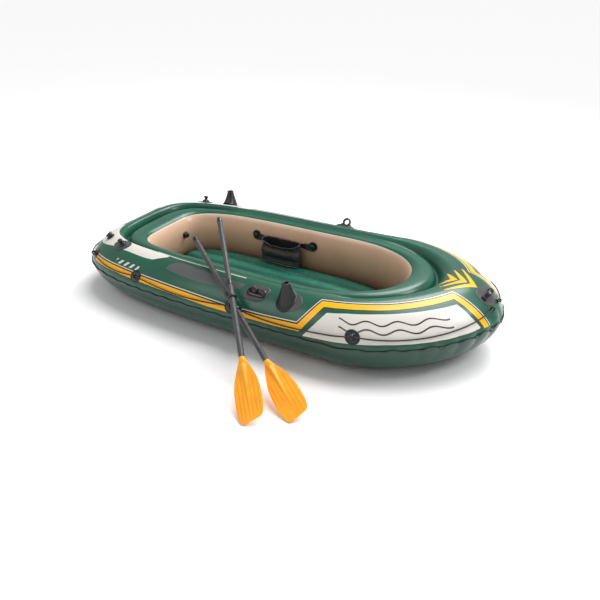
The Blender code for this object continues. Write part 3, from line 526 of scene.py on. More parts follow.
def ropeBraid():
    # braided polypropylene cord: the strands cross every 6 mm, drawn from the length along the cord
    material, tree, shader = startMaterial("ropeBraidedCord", Roughness=0.72, Sheen_Weight=0.2)
    split = node(tree, "SeparateXYZ", None, {0: node(tree, "UVMap", {"uv_map": "printMap"}).outputs[0]})
    waves = []
    for sign in (1.0, -1.0):
        turn = node(tree, "Math", {"operation": "MULTIPLY"},
                    {0: split.outputs[1], 1: sign * 4 * 2 * math.pi})
        phase = node(tree, "Math", {"operation": "MULTIPLY_ADD"},
                     {0: split.outputs[0], 1: 2 * math.pi / 0.012, 2: turn.outputs[0]})
        waves.append(node(tree, "Math", {"operation": "SINE"}, {0: phase.outputs[0]}).outputs[0])
    height = node(tree, "Math", {"operation": "MAXIMUM"}, {0: waves[0], 1: waves[1]})
    bump = node(tree, "Bump", None, {"Strength": 0.8, "Distance": 0.0006, "Height": height.outputs[0]})
    tree.links.new(bump.outputs[0], shader.inputs["Normal"])
    # the strands' crests lighter and the hollows between them darker: painted shade
    strandShade = node(tree, "MapRange", None, {"Value": height.outputs[0], "From Min": -0.5})
    tree.links.new(blend(tree, strandShade.outputs[0], linear("#0b0b0b"), linear("#232323")),
                   shader.inputs["Base Color"])
    return material


vinylPrinted = hullVinyl()
# the last colour is painted shade in the floor's folds and along the wall
floorVinyl = plainVinyl("floorVinyl", "#15705a", "#106250", 0.33, 0.18, deep="#06291d")
blackVinyl = plainVinyl("blackMouldedVinyl", "#0c0c0d", "#080809", 0.3, 0.3, 1.8)
bagVinyl = plainVinyl("bagVinylFilm", "#2b2a2d", "#201f22", 0.22, 0.4, 2.0)
bagPiping = plainVinyl("bagPipingVinyl", "#7c7c80", "#66666a", 0.34, 0.2, 2.0)
greyVinyl = plainVinyl("greyPatchVinyl", "#4b4a4d", "#403f42", 0.42, 0.05, 1.8)
weldVinyl = plainVinyl("weldedEdgeVinyl", "#101512", "#0b0f0d", 0.4, 0.1, 2.0)
# the bottom panel is the tube's green painted darker, as shade on the underside
shadedBottomVinyl = plainVinyl("underShadedVinyl", "#0f4434", "#0c3b2c", 0.42, 0.1)
greyDark = plainVinyl("rodHolderVinyl", "#1d1d1f", "#151517", 0.38, 0.15, 1.8)
shaftMaterial, bladeMaterial, ropeMaterial = shaftPlastic(), bladePlastic(), ropeBraid()
print("materials made")

tubeSet = dict(rows=720, counts=(16, 46, 30, 8, 18, 8, 3), bowBias=0.62)
prints = dict(
    # (length from the bow round the hull, height over the skin from the seam); of a chevron in mark, its
    # tip's x and its half width
    band=[(2.28, 0.052), (1.98, 0.05), (1.8, 0.055), (1.64, 0.054), (1.35, 0.046), (1.1, 0.037),
          (0.9, 0.038), (0.69, 0.046), (0.608, 0.19), (0.52, 0.205), (0.44, 0.213), (0.34, 0.216),
          (0.24, 0.222), (0.104, 0.228), (0.09, 0.132), (0.071, 0.02)],
    panel=[(0.668, 0.014), (0.582, 0.15), (0.5, 0.168), (0.39, 0.177), (0.28, 0.18), (0.2, 0.18),
           (0.121, 0.178), (0.108, 0.1), (0.091, 0.032), (0.2, 0.03), (0.377, 0.032), (0.52, 0.026)],
    wing=[(2.14, 0.15), (2.06, 0.128), (2.0, 0.134), (1.92, 0.168), (1.817, 0.176), (1.7, 0.172),
          (1.641, 0.176), (1.6, 0.2), (1.56, 0.222), (1.56, 0.232), (1.7, 0.238),
          (1.85, 0.245), (1.98, 0.25), (2.14, 0.23)],
    patch=[(1.53, 0.153), (1.515, 0.18), (1.49, 0.201), (1.445, 0.211), (1.35, 0.204), (1.2, 0.195),
           (1.05, 0.19), (1.04, 0.182), (1.063, 0.152), (1.16, 0.138), (1.283, 0.132), (1.42, 0.137),
           (1.49, 0.145)],
    line=[(1.66, 0.24), (1.5, 0.234), (1.068, 0.229)],
    mark=[(1.035, 0.13), (0.985, 0.105), (0.935, 0.07)])


def polygonDistance(h, s, corners):
    # least distance to the edges, negative inside by the even-odd rule
    corners = np.array(corners)
    nearest, inside = np.full(h.shape, 9.0), np.zeros(h.shape, bool)
    for (ax, ay), (bx, by) in zip(corners, np.roll(corners, -1, 0)):
        u = np.clip(((h - ax) * (bx - ax) + (s - ay) * (by - ay)) / ((bx - ax) ** 2 + (by - ay) ** 2), 0, 1)
        nearest = np.minimum(nearest, np.hypot(h - ax - u * (bx - ax), s - ay - u * (by - ay)))
        crosses = (ay > s) != (by > s)
        inside ^= crosses & (h < (bx - ax) * (s - ay) / (by - ay if by != ay else 1e-9) + ax)
    return np.where(inside, -nearest, nearest)


def bandDistance(points, h, s):
    # distance in space to the band's path, with mitred corners, positive above the path
    path = np.array(prints["band"])
    fine = []
    for a, b in zip(path, path[1:]):
        steps = max(1, round(math.hypot(*(b - a)) / 0.03))
        fine += [a + (b - a) * k / steps for k in range(steps)]
    fine = np.array(fine + [path[-1]])
    line = onSkin(fine[:, 0], fine[:, 1])
    folded = points.copy()
    folded[:, 1] = np.abs(folded[:, 1])
    distance = np.empty(len(folded))
    for first in range(0, len(folded), 8000):
        p = folded[first:first + 8000, None]
        a, span = line[None, :-1], line[None, 1:] - line[None, :-1]
        u = ((p - a) * span).sum(-1) / (span ** 2).sum(-1)
        held = np.linalg.norm(p - a - np.clip(u, 0, 1)[..., None] * span, axis=-1)
        free = np.linalg.norm(p - a - u[..., None] * span, axis=-1)
        near = held <= held.min(1, keepdims=True) + 1e-7
        distance[first:first + 8000] = np.where(near, free, 0).max(1)
    order = np.argsort(path[:, 0])
    above = s > np.interp(h, path[order, 0], path[order, 1], left=-1)
    return np.where(above, distance, -distance)


def airChambers():
    # the tube's sections round the hull, closer together at the bow; the skin then puckers where it is
    # welded: a ripple that runs across the seam and fades within a hand's width
    share = np.linspace(0, 1, tubeSet["rows"], endpoint=False)
    swing = np.sin(2 * math.pi * share) * tubeSet["bowBias"] / (2 * math.pi)
    t = (share - 0.5 * swing) * roundHull
    points, ends = tubeRows(t, tubeSet["counts"])
    up = upFromSeam(points, ends[0])
    h = np.broadcast_to(np.minimum(t, roundHull - t)[:, None], up.shape)
    along = np.roll(points, -1, 0) - np.roll(points, 1, 0)
    across = np.roll(points, -1, 1) - np.roll(points, 1, 1)
    normal = np.cross(along, across)
    normal /= np.linalg.norm(normal, axis=2, keepdims=True)
    atBow = np.clip(1 - h / 0.42, 0, 1) ** 0.7
    atStern = np.clip((h - 1.95) / 0.3, 0, 1)
    reach = 0.03 + 0.075 * atBow * (up < 0) + 0.03 * atBow * (up >= 0)
    fade = np.exp(-(up / reach) ** 2)
    wobble = 0.5 * np.sin(9.1 * h) + 0.5 * np.sin(17.3 * h + 1.0)
    ripple = np.abs(np.sin(math.pi * h / 0.055 + 0.5 * wobble)) - 0.6
    size = 0.001 + 0.009 * atBow + 0.0025 * atStern
    points = points + normal * (ripple * size * fade)[..., None]
    slow = np.sin(5.3 * h + 8 * up) * np.sin(3.1 * h + 2.0) * 0.0008
    onTube = np.exp(-((up - 0.12) / 0.1) ** 2)
    points = points + normal * (slow * onTube)[..., None]
    flat = points.reshape(-1, 3)
    hFlat, sFlat = h.reshape(-1), up.reshape(-1)
    edgeColumn = ends[3]
    edge = up - up[:, edgeColumn:edgeColumn + 1]
    chevrons = []
    for tip, half in prints["mark"]:
        x, y = flat[:, 0], np.abs(flat[:, 1])
        thick = 0.0125 * np.clip(1.1 - 0.9 * y / half, 0.05, 1.1)
        chevrons.append(np.maximum(np.abs(x + 0.8 * y - tip + 0.012) * 0.78 - thick, y - half))
    mark = np.where((sFlat > 0.15) & (x > 0.84), np.min(chevrons, 0), 1.0)
    onto = (sFlat > 0) & (edge.reshape(-1) < 0)
    line = np.array(prints["line"])[::-1]
    floats = dict(
        band=np.where(onto, bandDistance(flat, hFlat, sFlat), 1.0),
        **{key: np.where(onto, polygonDistance(hFlat, sFlat, prints[key]), 1.0)
           for key in ("panel", "wing", "patch")},
        line=sFlat - np.interp(hFlat, line[:, 0], line[:, 1]), mark=mark, edge=edge, seam=up)
    makePiece("airChamberSkin", (flat, gridFaces(len(t), up.shape[1], True, True)), vinylPrinted,
              "outer_chamber inner_chamber", uv=np.stack([hFlat, sFlat], -1), floats=floats, sharp=0)
    print("air chambers made:", points.shape)


def weldedEdge():
    # the two panels' trimmed edges round the hull: a thin strip that waves up and down, in scallops at
    # the bow
    t = np.linspace(0, roundHull, 1400, endpoint=False)
    h = np.minimum(t, roundHull - t)
    atBow = np.clip(1 - h / 0.5, 0, 1)
    start, way = raysAt(t)
    out = reachOf(tubePlan, start, way)
    wave = 0.0019 * np.sin(70 * h + 2.5 * np.sin(7 * h)) + 0.013 * atBow ** 0.7 * np.abs(
        np.sin(math.pi * h / 0.055)) - 0.006 * atBow
    reach = 0.0068 + 0.0006 * np.sin(31 * h + 2 * np.sin(11 * h))
    half = 0.0029
    section = [(-0.006, -half), (-0.003, -half), (0.6, -half), (0.93, -half * 0.8), (1, 0),
               (0.93, half * 0.8), (0.6, half), (-0.003, half), (-0.006, half)]
    rows = []
    for share, up in section:
        offset = share * reach if share > 0 else share
        p = start + way * (out + offset)[:, None]
        droop = wave * min(1, max(0, share)) + 0.5 * wave
        rows.append(np.concatenate([p, (hull["seam"] * riseAt(p[:, 0]) + up + droop)[:, None]], 1))
    points = np.stack(rows, 1)
    makePiece("weldedEdge", (points.reshape(-1, 3), gridFaces(len(t), len(section), True, True)),
              weldVinyl, "weld_flange")


def bottomSheet():
    # the flat bottom panel: the outer crest's outline, domed by a millimetre
    t = np.linspace(0, roundHull, 260, endpoint=False)
    start, way = raysAt(t)
    out = reachOf(tubePlan, start, way)
    bow, stern = np.clip(way[:, 0], 0, 1) ** 2, np.clip(-way[:, 0], 0, 1) ** 2
    reach = out - hull["shoulder"] - 0.06 * bow - 0.01 * stern
    profile = [(0.0, 0.0), (0.9, 0.0), (0.985, 0.0001), (1.0, 0.001), (0.985, 0.002), (0.9, 0.0021),
               (0.0, 0.0021)]
    points = [np.column_stack([start + way * (reach * share)[:, None], z + 0 * t]) for share, z in profile]
    makePiece("bottomPanel", (np.concatenate(points), gridFaces(len(profile), len(t), False, True)),
              shadedBottomVinyl, "bottom_sheet")


floorSet = dict(top=0.0865, pitch=0.1, depth=0.03, edge=0.05, under=0.0035)


def airFloor():
    # the inflated floor over the cockpit's plan: height = a row of soft ribs along the boat that
    # draw together towards the ends, rounded off where it meets the wall
    t = np.linspace(0, roundHull, 420, endpoint=False)
    start, way = raysAt(t)
    reach = reachOf(cockpitPlan, start, way) - hull["bulge"] - 0.003
    share = 1 - (1 - np.linspace(0, 1, 64)) ** 1.25
    points = start[None] + way[None] * (share[:, None] * reach)[..., None]
    x, y = points[..., 0], points[..., 1]
    inside = (1 - share[:, None]) * reach
    wide = 1 - 0.35 * np.clip((x - 0.05) / 0.6, 0, 1) ** 2 - 0.06 * np.clip((-x - 0.4) / 0.4, 0, 1) ** 2
    u = np.mod(y / wide / floorSet["pitch"], 1.0)
    rib = np.sin(math.pi * u) ** 0.42
    creases = 1 + 0.05 * np.sin(2 * math.pi * x / 0.031 + 4 * np.sin(3 * y + x)) * np.exp(
        -(np.minimum(u, 1 - u) / 0.12) ** 2)
    drop = floorSet["depth"] * (1 - rib) * creases
    ends = np.clip(inside / floorSet["edge"], 0, 1)
    ends = np.sqrt(ends * (2 - ends))
    z = floorSet["top"] - drop * ends - 0.03 * (1 - ends)
    # how much painted shade each point gets: in the bottoms of the ribs' folds, and most where the floor
    # meets the wall
    groove = np.clip(1.25 * (1 - rib) * ends, 0, 0.9) + 0.6 * (1 - ends)
    top = np.concatenate([points, z[..., None]], -1)
    bottom = top[::-1].copy()
    bottom[..., 2] = floorSet["under"]
    whole = np.concatenate([top, bottom])
    makePiece("airFloorRibs", (whole.reshape(-1, 3), gridFaces(len(whole), len(t), False, True)), floorVinyl,
              "floor_cushion", floats={"groove": np.concatenate([groove, 0 * groove])}, sharp=0)


airChambers()
weldedEdge()
bottomSheet()
airFloor()
print("seam, bottom and floor made")

eyeSet = dict(radius=0.036, up=0.06, xs=(0.645, -0.01, -0.64, -1.04), transom=0.1, ropeR=0.0035,
              hole=0.0055, lift=0.013, wire=0.0036)
eyeNames = ("fore", "mid", "aft", "corner")


def eyePlaces():
    # name and length round the hull of every rope eye, starboard bow to port bow
    found = [(f"rope_eye_starboard_{n}", stationAt(x, "starboard", eyeSet["up"]))
             for n, x in zip(eyeNames, eyeSet["xs"])]
    found.append(("rope_eye_transom_starboard", roundHull / 2 + eyeSet["transom"]))
    found.append(("rope_eye_transom_port", roundHull / 2 - eyeSet["transom"]))
    return found + [(f"rope_eye_port_{n}", stationAt(x, "port", eyeSet["up"]))
                    for n, x in list(zip(eyeNames, eyeSet["xs"]))[::-1]]


def ropeEye(name, t):
    # a welded round disc with a bead at its rim and a dished middle; on it the moulded loop that the
    # rope runs through, and its two feet
    r, s = eyeSet["radius"], eyeSet["up"]
    disc = patchPart(t, s, r, r, [(0, -0.001), (0.97, -0.001), (1.0, 0.0004), (0.99, 0.0022),
                                  (0.93, 0.0034), (0.86, 0.0026), (0.7, 0.0024), (0.58, 0.0046),
                                  (0.45, 0.005), (0, 0.005)])
    seat = seatOn(t, s)
    bend = np.linspace(-0.12 * math.pi, 1.12 * math.pi, 26)
    ringR = eyeSet["hole"] + eyeSet["wire"]
    arch = np.stack([0 * bend, ringR * np.cos(bend), eyeSet["lift"] + ringR * np.sin(bend)], -1)
    arch = np.concatenate([[[0, ringR + 0.004, 0.003]], arch, [[0, -ringR - 0.004, 0.003]]])
    loop = archTube(arch, eyeSet["wire"], 0.006, np.array([1.0, 0, 0]))
    foot = turnedPart([(0, 0.003), (0.017, 0.003), (0.0165, 0.0062), (0.012, 0.0075), (0, 0.0075)], 32)
    makePiece(name + "Moulded", joinParts(disc, moved(loop, seat), moved(foot, seat)), blackVinyl, name)


patchFoot = [(0, -0.001), (0.98, -0.001), (1, 0.0006)]


oarlockSet = dict(x=0.1, up=0.158, hole=0.017, rim=0.008, thick=0.014, foot=0.044, base=0.006,
                  centre=(0, 0.03))


def oarlocks():
    # a rounded patch with a raised border, and on it the standing arch for the oar
    o = oarlockSet
    rim = o["hole"] + o["rim"]
    sweep = np.linspace(0.62 * math.pi, -0.62 * math.pi, 40)
    top = [(rim * math.sin(a), o["centre"][1] + rim * math.cos(a)) for a in sweep]
    outline = [(-o["foot"], o["base"]), (-o["foot"], 0), (o["foot"], 0), (o["foot"], o["base"])] + top
    for side in ("starboard", "port"):
        t = stationAt(o["x"], side, o["up"])
        patch = patchPart(t, o["up"], 0.064, 0.046, patchFoot + [
            (0.985, 0.0028), (0.93, 0.0042), (0.88, 0.0034), (0.84, 0.0022), (0.6, 0.0024),
            (0, 0.0026)], 3.2, 0.25)
        makePiece(f"oarlockPatch{side.title()}", patch, greyVinyl, f"oarlock_pad_{side}")
        points, faces = platePart(outline, o["centre"], o["hole"], o["thick"], 0.003)
        plate = (points[:, [0, 2, 1]] * [1, -1, 1], faces)
        lip, lipFaces = turnedPart([(o["hole"] + 0.001 + 0.0035 * math.cos(a), 0.0035 * math.sin(a))
                                    for a in fullTurn(12)], 48, True)
        lips = [(lip[:, [0, 2, 1]] + [0, y, o["centre"][1]], lipFaces) for y in (-0.0052, 0.0052)]
        step = turnedPart([(0, 0), (0.052, 0.0), (0.052, 0.004), (0.046, 0.008), (0.03, 0.0095),
                           (0, 0.0095)], 64, power=4.5)
        makePiece(f"oarlockArch{side.title()}", joinParts(plate, *lips, stretched(step, [1, 0.42, 1])),
                  blackVinyl, f"oarlock_arch_{side}", matrix=seatOn(t, o["up"], 0.0024))


rodSet = dict(patchFore=0.018, up=0.158, xs={"starboard": 0.268, "port": -0.69}, height=0.092,
              bore=0.0115)


def rodHolders():
    # an upright tapered socket: circles on a flared profile whose foot leans with the skin and whose
    # top is level
    r = rodSet
    profile = filleted([(0, -0.002), (0.05, -0.002), (0.0505, 0.002), (0.0475, 0.0035), (0.0455, 0.0045),
                        (0.0425, 0.009), (0.037, 0.024), (0.0315, 0.041), (0.026, 0.058),
                        (0.0215, 0.074), (0.0188, 0.084), (0.0195, 0.0855), (0.0198, 0.0905),
                        (0.0185, r["height"]), (0.0135, r["height"]), (r["bore"], 0.0895),
                        (r["bore"], 0.022), (0, 0.022)], 0.002, 3)
    radius, up = profile[:, :1], profile[:, 1:]
    dx, dy = radius * np.cos(fullTurn(64)), radius * np.sin(fullTurn(64))
    lean = np.clip(1 - up / 0.085, 0, 1)
    sink = 1.68 * np.clip(1 - up / 0.012, 0, 1) * radius ** 2
    for side, x in r["xs"].items():
        patch = patchPart(stationAt(x + r["patchFore"], side, r["up"]), r["up"], 0.068, 0.052, patchFoot + [
            (0.985, 0.0026), (0.95, 0.0036), (0.9, 0.003), (0.6, 0.0034), (0, 0.0036)])
        makePiece(f"rodHolderPatch{side.title()}", patch, greyVinyl, f"rod_pad_{side}")
        t = stationAt(x, side, r["up"])
        p, n = onSkin(t, r["up"]), skinNormal(t, r["up"])
        z = p[2] + 0.0046 / n[2] + up - lean * (n[0] * dx + n[1] * dy) / n[2] - sink
        points = np.stack([p[0] + dx, p[1] + dy, z], -1).reshape(-1, 3)
        makePiece(f"rodHolder{side.title()}", (points, gridFaces(len(profile), 64, False, True)), greyDark,
                  f"rod_holder_{side}")


def motorMounts():
    # a round patch with a raised rim and the boss that a bracket's strap buttons on
    for side in ("starboard", "port"):
        t = stationAt(-0.84, side, 0.2)
        patch = patchPart(t, 0.2, 0.054, 0.044, patchFoot + [
            (0.985, 0.0028), (0.95, 0.0036), (0.9, 0.0026), (0.62, 0.0028), (0.57, 0.0046), (0, 0.0048)])
        makePiece(f"motorPatch{side.title()}", patch, greyVinyl, f"motor_pad_{side}")
        boss = turnedPart([(0, -0.002), (0.021, -0.002), (0.021, 0.004), (0.0185, 0.008), (0.009, 0.011),
                           (0.009, 0.019), (0.0145, 0.0225), (0.0148, 0.028), (0.012, 0.032),
                           (0.006, 0.034), (0, 0.034)], 48, radius=0.002)
        makePiece(f"motorBoss{side.title()}", boss, blackVinyl, f"motor_boss_{side}",
                  matrix=seatOn(t, 0.2, 0.0052))


def valvePair(name, cadName, seat, radius):
    # the welded flange with its threaded neck, and the cap with a grip rib that lifts off it
    neck = radius * 0.62
    body = turnedPart([(0, -0.001), (radius, -0.001), (radius, 0.0018), (radius * 0.9, 0.0032),
                       (neck * 1.35, 0.0036), (neck * 1.22, 0.0052), (neck, 0.0056), (neck, 0.0075),
                       (neck * 1.05, 0.0082), (neck, 0.009), (neck, 0.0108), (0, 0.0108)], 48, radius=0.0006)
    makePiece(name + "Body", body, blackVinyl, cadName + "_body", matrix=seat)
    low = 0.0114
    cap = turnedPart([(0, low), (neck * 1.15, low), (neck * 1.26, low + 0.0015), (neck * 1.26, low + 0.005),
                      (neck * 1.12, low + 0.0078), (neck * 0.8, low + 0.008), (neck * 0.7, low + 0.0066),
                      (0, low + 0.0066)], 48, radius=0.0008)
    grip = turnedPart([(0, low + 0.006), (neck * 0.62, low + 0.006), (neck * 0.6, low + 0.013),
                       (neck * 0.5, low + 0.014), (0, low + 0.014)], 40, power=3.0, radius=0.001)
    rib = turnedPart([(0, low + 0.001), (0.0007, low + 0.001), (0.0007, low + 0.0052),
                      (0, low + 0.0056)], 8)
    knurls = [stretched(rib, 1, [neck * 1.26 * math.cos(a), neck * 1.26 * math.sin(a), 0])
              for a in fullTurn(24)]
    makePiece(name + "Cap", joinParts(cap, stretched(grip, [1, 0.3, 1]), *knurls), blackVinyl,
              cadName + "_cap", cadName + "_cap", matrix=seat)


def quarterTurn(axis, place=(0, 0, 0)):
    return np.array(Matrix.Translation(place) @ Matrix.Rotation(math.pi / 2, 4, axis))


def valves():
    t = stationAt(-0.985, "starboard", 0.19)
    valvePair("mainValve", "main_valve", seatOn(t, 0.19, 0.0016), 0.024)
    floorSeat = np.eye(4)
    floorSeat[:3, 3] = (cockpitStern + 0.12, -floorSet["pitch"] / 2, 0.0864)
    valvePair("floorValve", "floor_valve", floorSeat, 0.0204)
    wallSeat = quarterTurn("Y", (cockpitStern + hull["bulge"] + 0.0038, 0.12, hull["seam"] + 0.02))
    valvePair("innerValve", "inner_valve", wallSeat, 0.0204)


bowSet = dict(padUp=0.15, ringUp=0.085, apart=0.055, handleHeight=0.028)


def bowGear():
    # the bow's oval patch, its strap handle with two slotted keepers, and the two rope rings
    patch = patchPart(0.0, bowSet["padUp"], 0.068, 0.052, patchFoot + [
        (0.985, 0.0026), (0.95, 0.0036), (0.9, 0.0028), (0.6, 0.003), (0, 0.0032)], 2.6)
    makePiece("bowPatch", patch, greyVinyl, "bow_pad")
    u = np.linspace(-1, 1, 60)
    path = np.stack([0.045 * u, 0 * u, 0.005 + bowSet["handleHeight"] * (1 - np.abs(u) ** 2.6)], -1)
    strap = archTube(path, 0.0027, 0.0105, np.array([0, 1.0, 0]))
    block = turnedPart([(0, -0.001), (0.011, -0.001), (0.0112, 0.004), (0.009, 0.0075), (0, 0.0078)],
                       36, power=4.0)
    keepers = [stretched(block, [0.75, 1.35, 1], [end, 0, 0]) for end in (-0.045, 0.045)]
    makePiece("bowStrapHandle", joinParts(strap, *keepers), blackVinyl, "bow_handle",
              matrix=seatOn(0.0, bowSet["padUp"], 0.0035))
    ringR, wire = eyeSet["ropeR"] + 0.0042, 0.003
    ring = turnedPart([(ringR + wire * math.cos(a), wire * math.sin(a)) for a in fullTurn(14)], 40, True)
    base = turnedPart([(0, -0.0005), (0.016, -0.0005), (0.0158, 0.002), (0.008, 0.0034), (0, 0.0036)], 32)
    for side, sign in (("starboard", -1), ("port", 1)):
        t = sign * bowSet["apart"] / 2 % roundHull
        place = seatOn(t, bowSet["ringUp"], eyeSet["lift"]) @ quarterTurn("Y")
        makePiece(f"bowRing{side.title()}",
                  joinParts(moved(ring, place), moved(base, seatOn(t, bowSet["ringUp"]))), blackVinyl,
                  f"bow_ring_{side}")


def ropeRoute(places):
    # through every eye and sagging between: (t, s, lift over the skin), straight for 9 mm at each eye
    low = eyeSet["ropeR"] + 0.0025
    up = eyeSet["up"]
    stops = [(roundHull - bowSet["apart"] / 2, bowSet["ringUp"])] + [(t, up) for _, t in places]
    stops += [(bowSet["apart"] / 2, bowSet["ringUp"])]
    route = []
    for (t0, s0), (t1, s1) in zip(stops, stops[1:]):
        span = abs(t1 - t0)
        near = np.linspace(0, span, max(40, int(span / 0.008)), endpoint=False)
        calm = np.minimum(near, span - near)
        share = np.clip((calm - 0.009) / (span / 2 - 0.009), 0, 1)
        sag = 0.022 * min(1, span / 0.5) * (1 - (1 - share) ** 2)
        lift = low + (eyeSet["lift"] - low) * np.clip((0.055 - calm) / 0.046, 0, 1)
        u = near / span
        route.append(np.stack([t0 + (t1 - t0) * u, s0 + (s1 - s0) * u - sag, lift], -1))
    route = np.concatenate(route + [np.array([[*stops[-1], eyeSet["lift"]]])])
    line = onSkin(route[:, 0], route[:, 1]) + skinNormal(route[:, 0], route[:, 1]) * route[:, 2:]
    for _ in range(2):
        line[1:-1] = (line[:-2] + 2 * line[1:-1] + line[2:]) / 4
    return line


def grabRope(places):
    # a round cord carried along the route, with its length and turn as its map
    line = ropeRoute(places)
    run = np.concatenate([[0], np.cumsum(np.linalg.norm(np.diff(line, axis=0), axis=1))])
    along = np.concatenate([[0], run, [run[-1]]])
    uv = np.stack(np.broadcast_arrays(along[:, None], np.linspace(0, 1, 12, endpoint=False)[None]), -1)
    rope = makePiece("grabRopeCord", tubePart(line, eyeSet["ropeR"]), ropeMaterial, "grab_rope", uv=uv)
    print("grab rope:", round(float(run[-1]), 3), "m")


places = eyePlaces()
for eyeName, eyeT in places:
    ropeEye(eyeName, eyeT)
oarlocks()
rodHolders()
motorMounts()
valves()
bowGear()
grabRope(places)
print("fittings made")

bagSet = dict(middle=-0.205, width=0.27, depth=0.07, height=0.14, reach=0.055, buttonZ=0.222, buttonR=0.028,
              neckR=0.008, holeR=0.0155, skin=0.0022)


def wallAt(x, z):
    # y of the port cockpit wall at x and height z
    t = quarter + spineBow - x
    row, ends = tubeRows(np.array([t]), (10, 10, 10, 20, 60, 60, 4))
    wall = row[0, ends[3]:ends[5]]
    return float(np.interp(-z, -wall[:, 2], wall[:, 1]))


def gearBag():
    # loops of a flat-backed superellipse from the bottom to the mouth, the front bellying low down and
    # the mouth's front edge sagging; an inner skin comes back down inside
    b = bagSet
    back = wallAt(b["middle"], 0.173) - 0.006
    low = floorSet["top"] + 0.0035
    c, q = signedPower(np.cos(fullTurn(128)), 0.5), signedPower(np.sin(fullTurn(128)), 0.62)
    v = np.array([0, 0.004, 0.015, 0.04, 0.08, 0.14, 0.22, 0.32, 0.44, 0.56, 0.68, 0.78, 0.86, 0.92,
                  0.96, 0.985, 1.0])
    rounding = np.sqrt(np.clip(1 - (1 - np.clip(v / 0.16, 0, 1)) ** 2, 0, 1))

    def loops(inset, lift):
        halfX = b["width"] * (0.46 + 0.035 * np.sin(math.pi * np.clip(v * 1.3, 0, 1)))
        halfX = halfX * (0.86 + 0.14 * rounding) - inset
        deep = b["depth"] * (0.8 + 0.2 * np.cos(2 * math.pi * v) ** 2) * (0.7 + 0.3 * rounding) - 2 * inset
        front = np.clip(-q, 0, 1)
        x = halfX[:, None] * c
        y = deep[:, None] * (q - 1) / 2
        y = np.minimum(y, -0.0005) - inset
        middle = 1 - (np.clip(np.abs(x) / (b["width"] / 2), 0, 1)) ** 2
        sag = 0.024 * front * middle * (v[:, None] ** 3)
        fold = 0.0022 * np.sin(x * 95 + 3 * v[:, None]) * front * (0.3 + v[:, None])
        fold = fold + 0.0016 * np.sin(x * 210 + 9 * v[:, None]) * front * v[:, None] ** 2
        z = low + lift + v[:, None] * (b["height"] - lift) - sag
        return np.stack([b["middle"] + x, back + y + fold - 0.001 * front, z], -1)

    outer, inner = loops(0.0, 0.0), loops(b["skin"], b["skin"])[::-1]
    centre = np.array([[[b["middle"], back - b["depth"] / 2, low]]]) + 0 * outer[:1]
    inside = centre + [0, 0, b["skin"]]
    whole = np.concatenate([centre, outer, inner, inside])
    makePiece("gearBagShell", (whole.reshape(-1, 3), gridFaces(len(whole), 128, False, True)), bagVinyl,
              "gear_bag", "gear_bag", sharp=0)
    rim = [0, 0, 0.0006]
    makePiece("gearBagHem", tubePart(outer[-1] + rim, 0.0022, True), bagVinyl, body="gear_bag")
    makePiece("gearBagPiping", tubePart(outer[3][65:] + rim, 0.0019), bagPiping, body="gear_bag")
    neck, head, wide = b["neckR"], b["holeR"] - 0.001, b["buttonR"]
    button = turnedPart([(0, -0.003), (wide, -0.003), (wide, 0.0008), (wide * 0.93, 0.0026),
                         (wide * 0.8, 0.003), (neck, 0.0036), (neck, 0.0115), (head, 0.0135),
                         (head, 0.0175), (head * 0.75, 0.0205), (head * 0.3, 0.0212), (0, 0.0212)], 56)
    for side, sign in (("aft", -1), ("fore", 1)):
        x = b["middle"] + sign * (b["width"] / 2 + b["reach"])
        y = wallAt(x, b["buttonZ"])
        makePiece(f"bagButton{side.title()}", button, blackVinyl, f"bag_button_{side}",
                  matrix=quarterTurn("X", (x, y - 0.0012, b["buttonZ"])))
        middle = b["buttonZ"] - (b["holeR"] - neck - 0.0004)
        half = b["holeR"] + 0.006
        bagEnd, near = b["middle"] + sign * (b["width"] * 0.47 - 0.018), x - sign * 0.02
        around = [(x + sign * 0.0205 * math.cos(a), middle + 0.0215 * math.sin(a))
                  for a in np.linspace(-math.pi / 2, math.pi / 2, 24)]
        outline = [(bagEnd, low + b["height"] - 0.024), (near, middle - half), *around,
                   (near, middle + half), (bagEnd, low + b["height"] - 0.004)]
        points, faces = platePart(outline[::sign], (x, middle), b["holeR"], 0.0022, 0.0008)
        points = np.stack([points[:, 0], y - 0.0087 - points[:, 2], points[:, 1]], -1)
        makePiece(f"bagStrap{side.title()}", (points, faces), bagVinyl, f"bag_strap_{side}", "gear_bag")


gearBag()
print("gear bag made")

oarSet = dict(length=1.21, shaftR=0.0145, bladeLength=0.325, socket=0.012, bladeWidth=0.13, tip=0.8,
              roll=29, collarR=0.024,
              places={"rear": (0.588, 0.35, 0.655), "front": (0.431, 0.476, 0.672)}, joint=0.75)


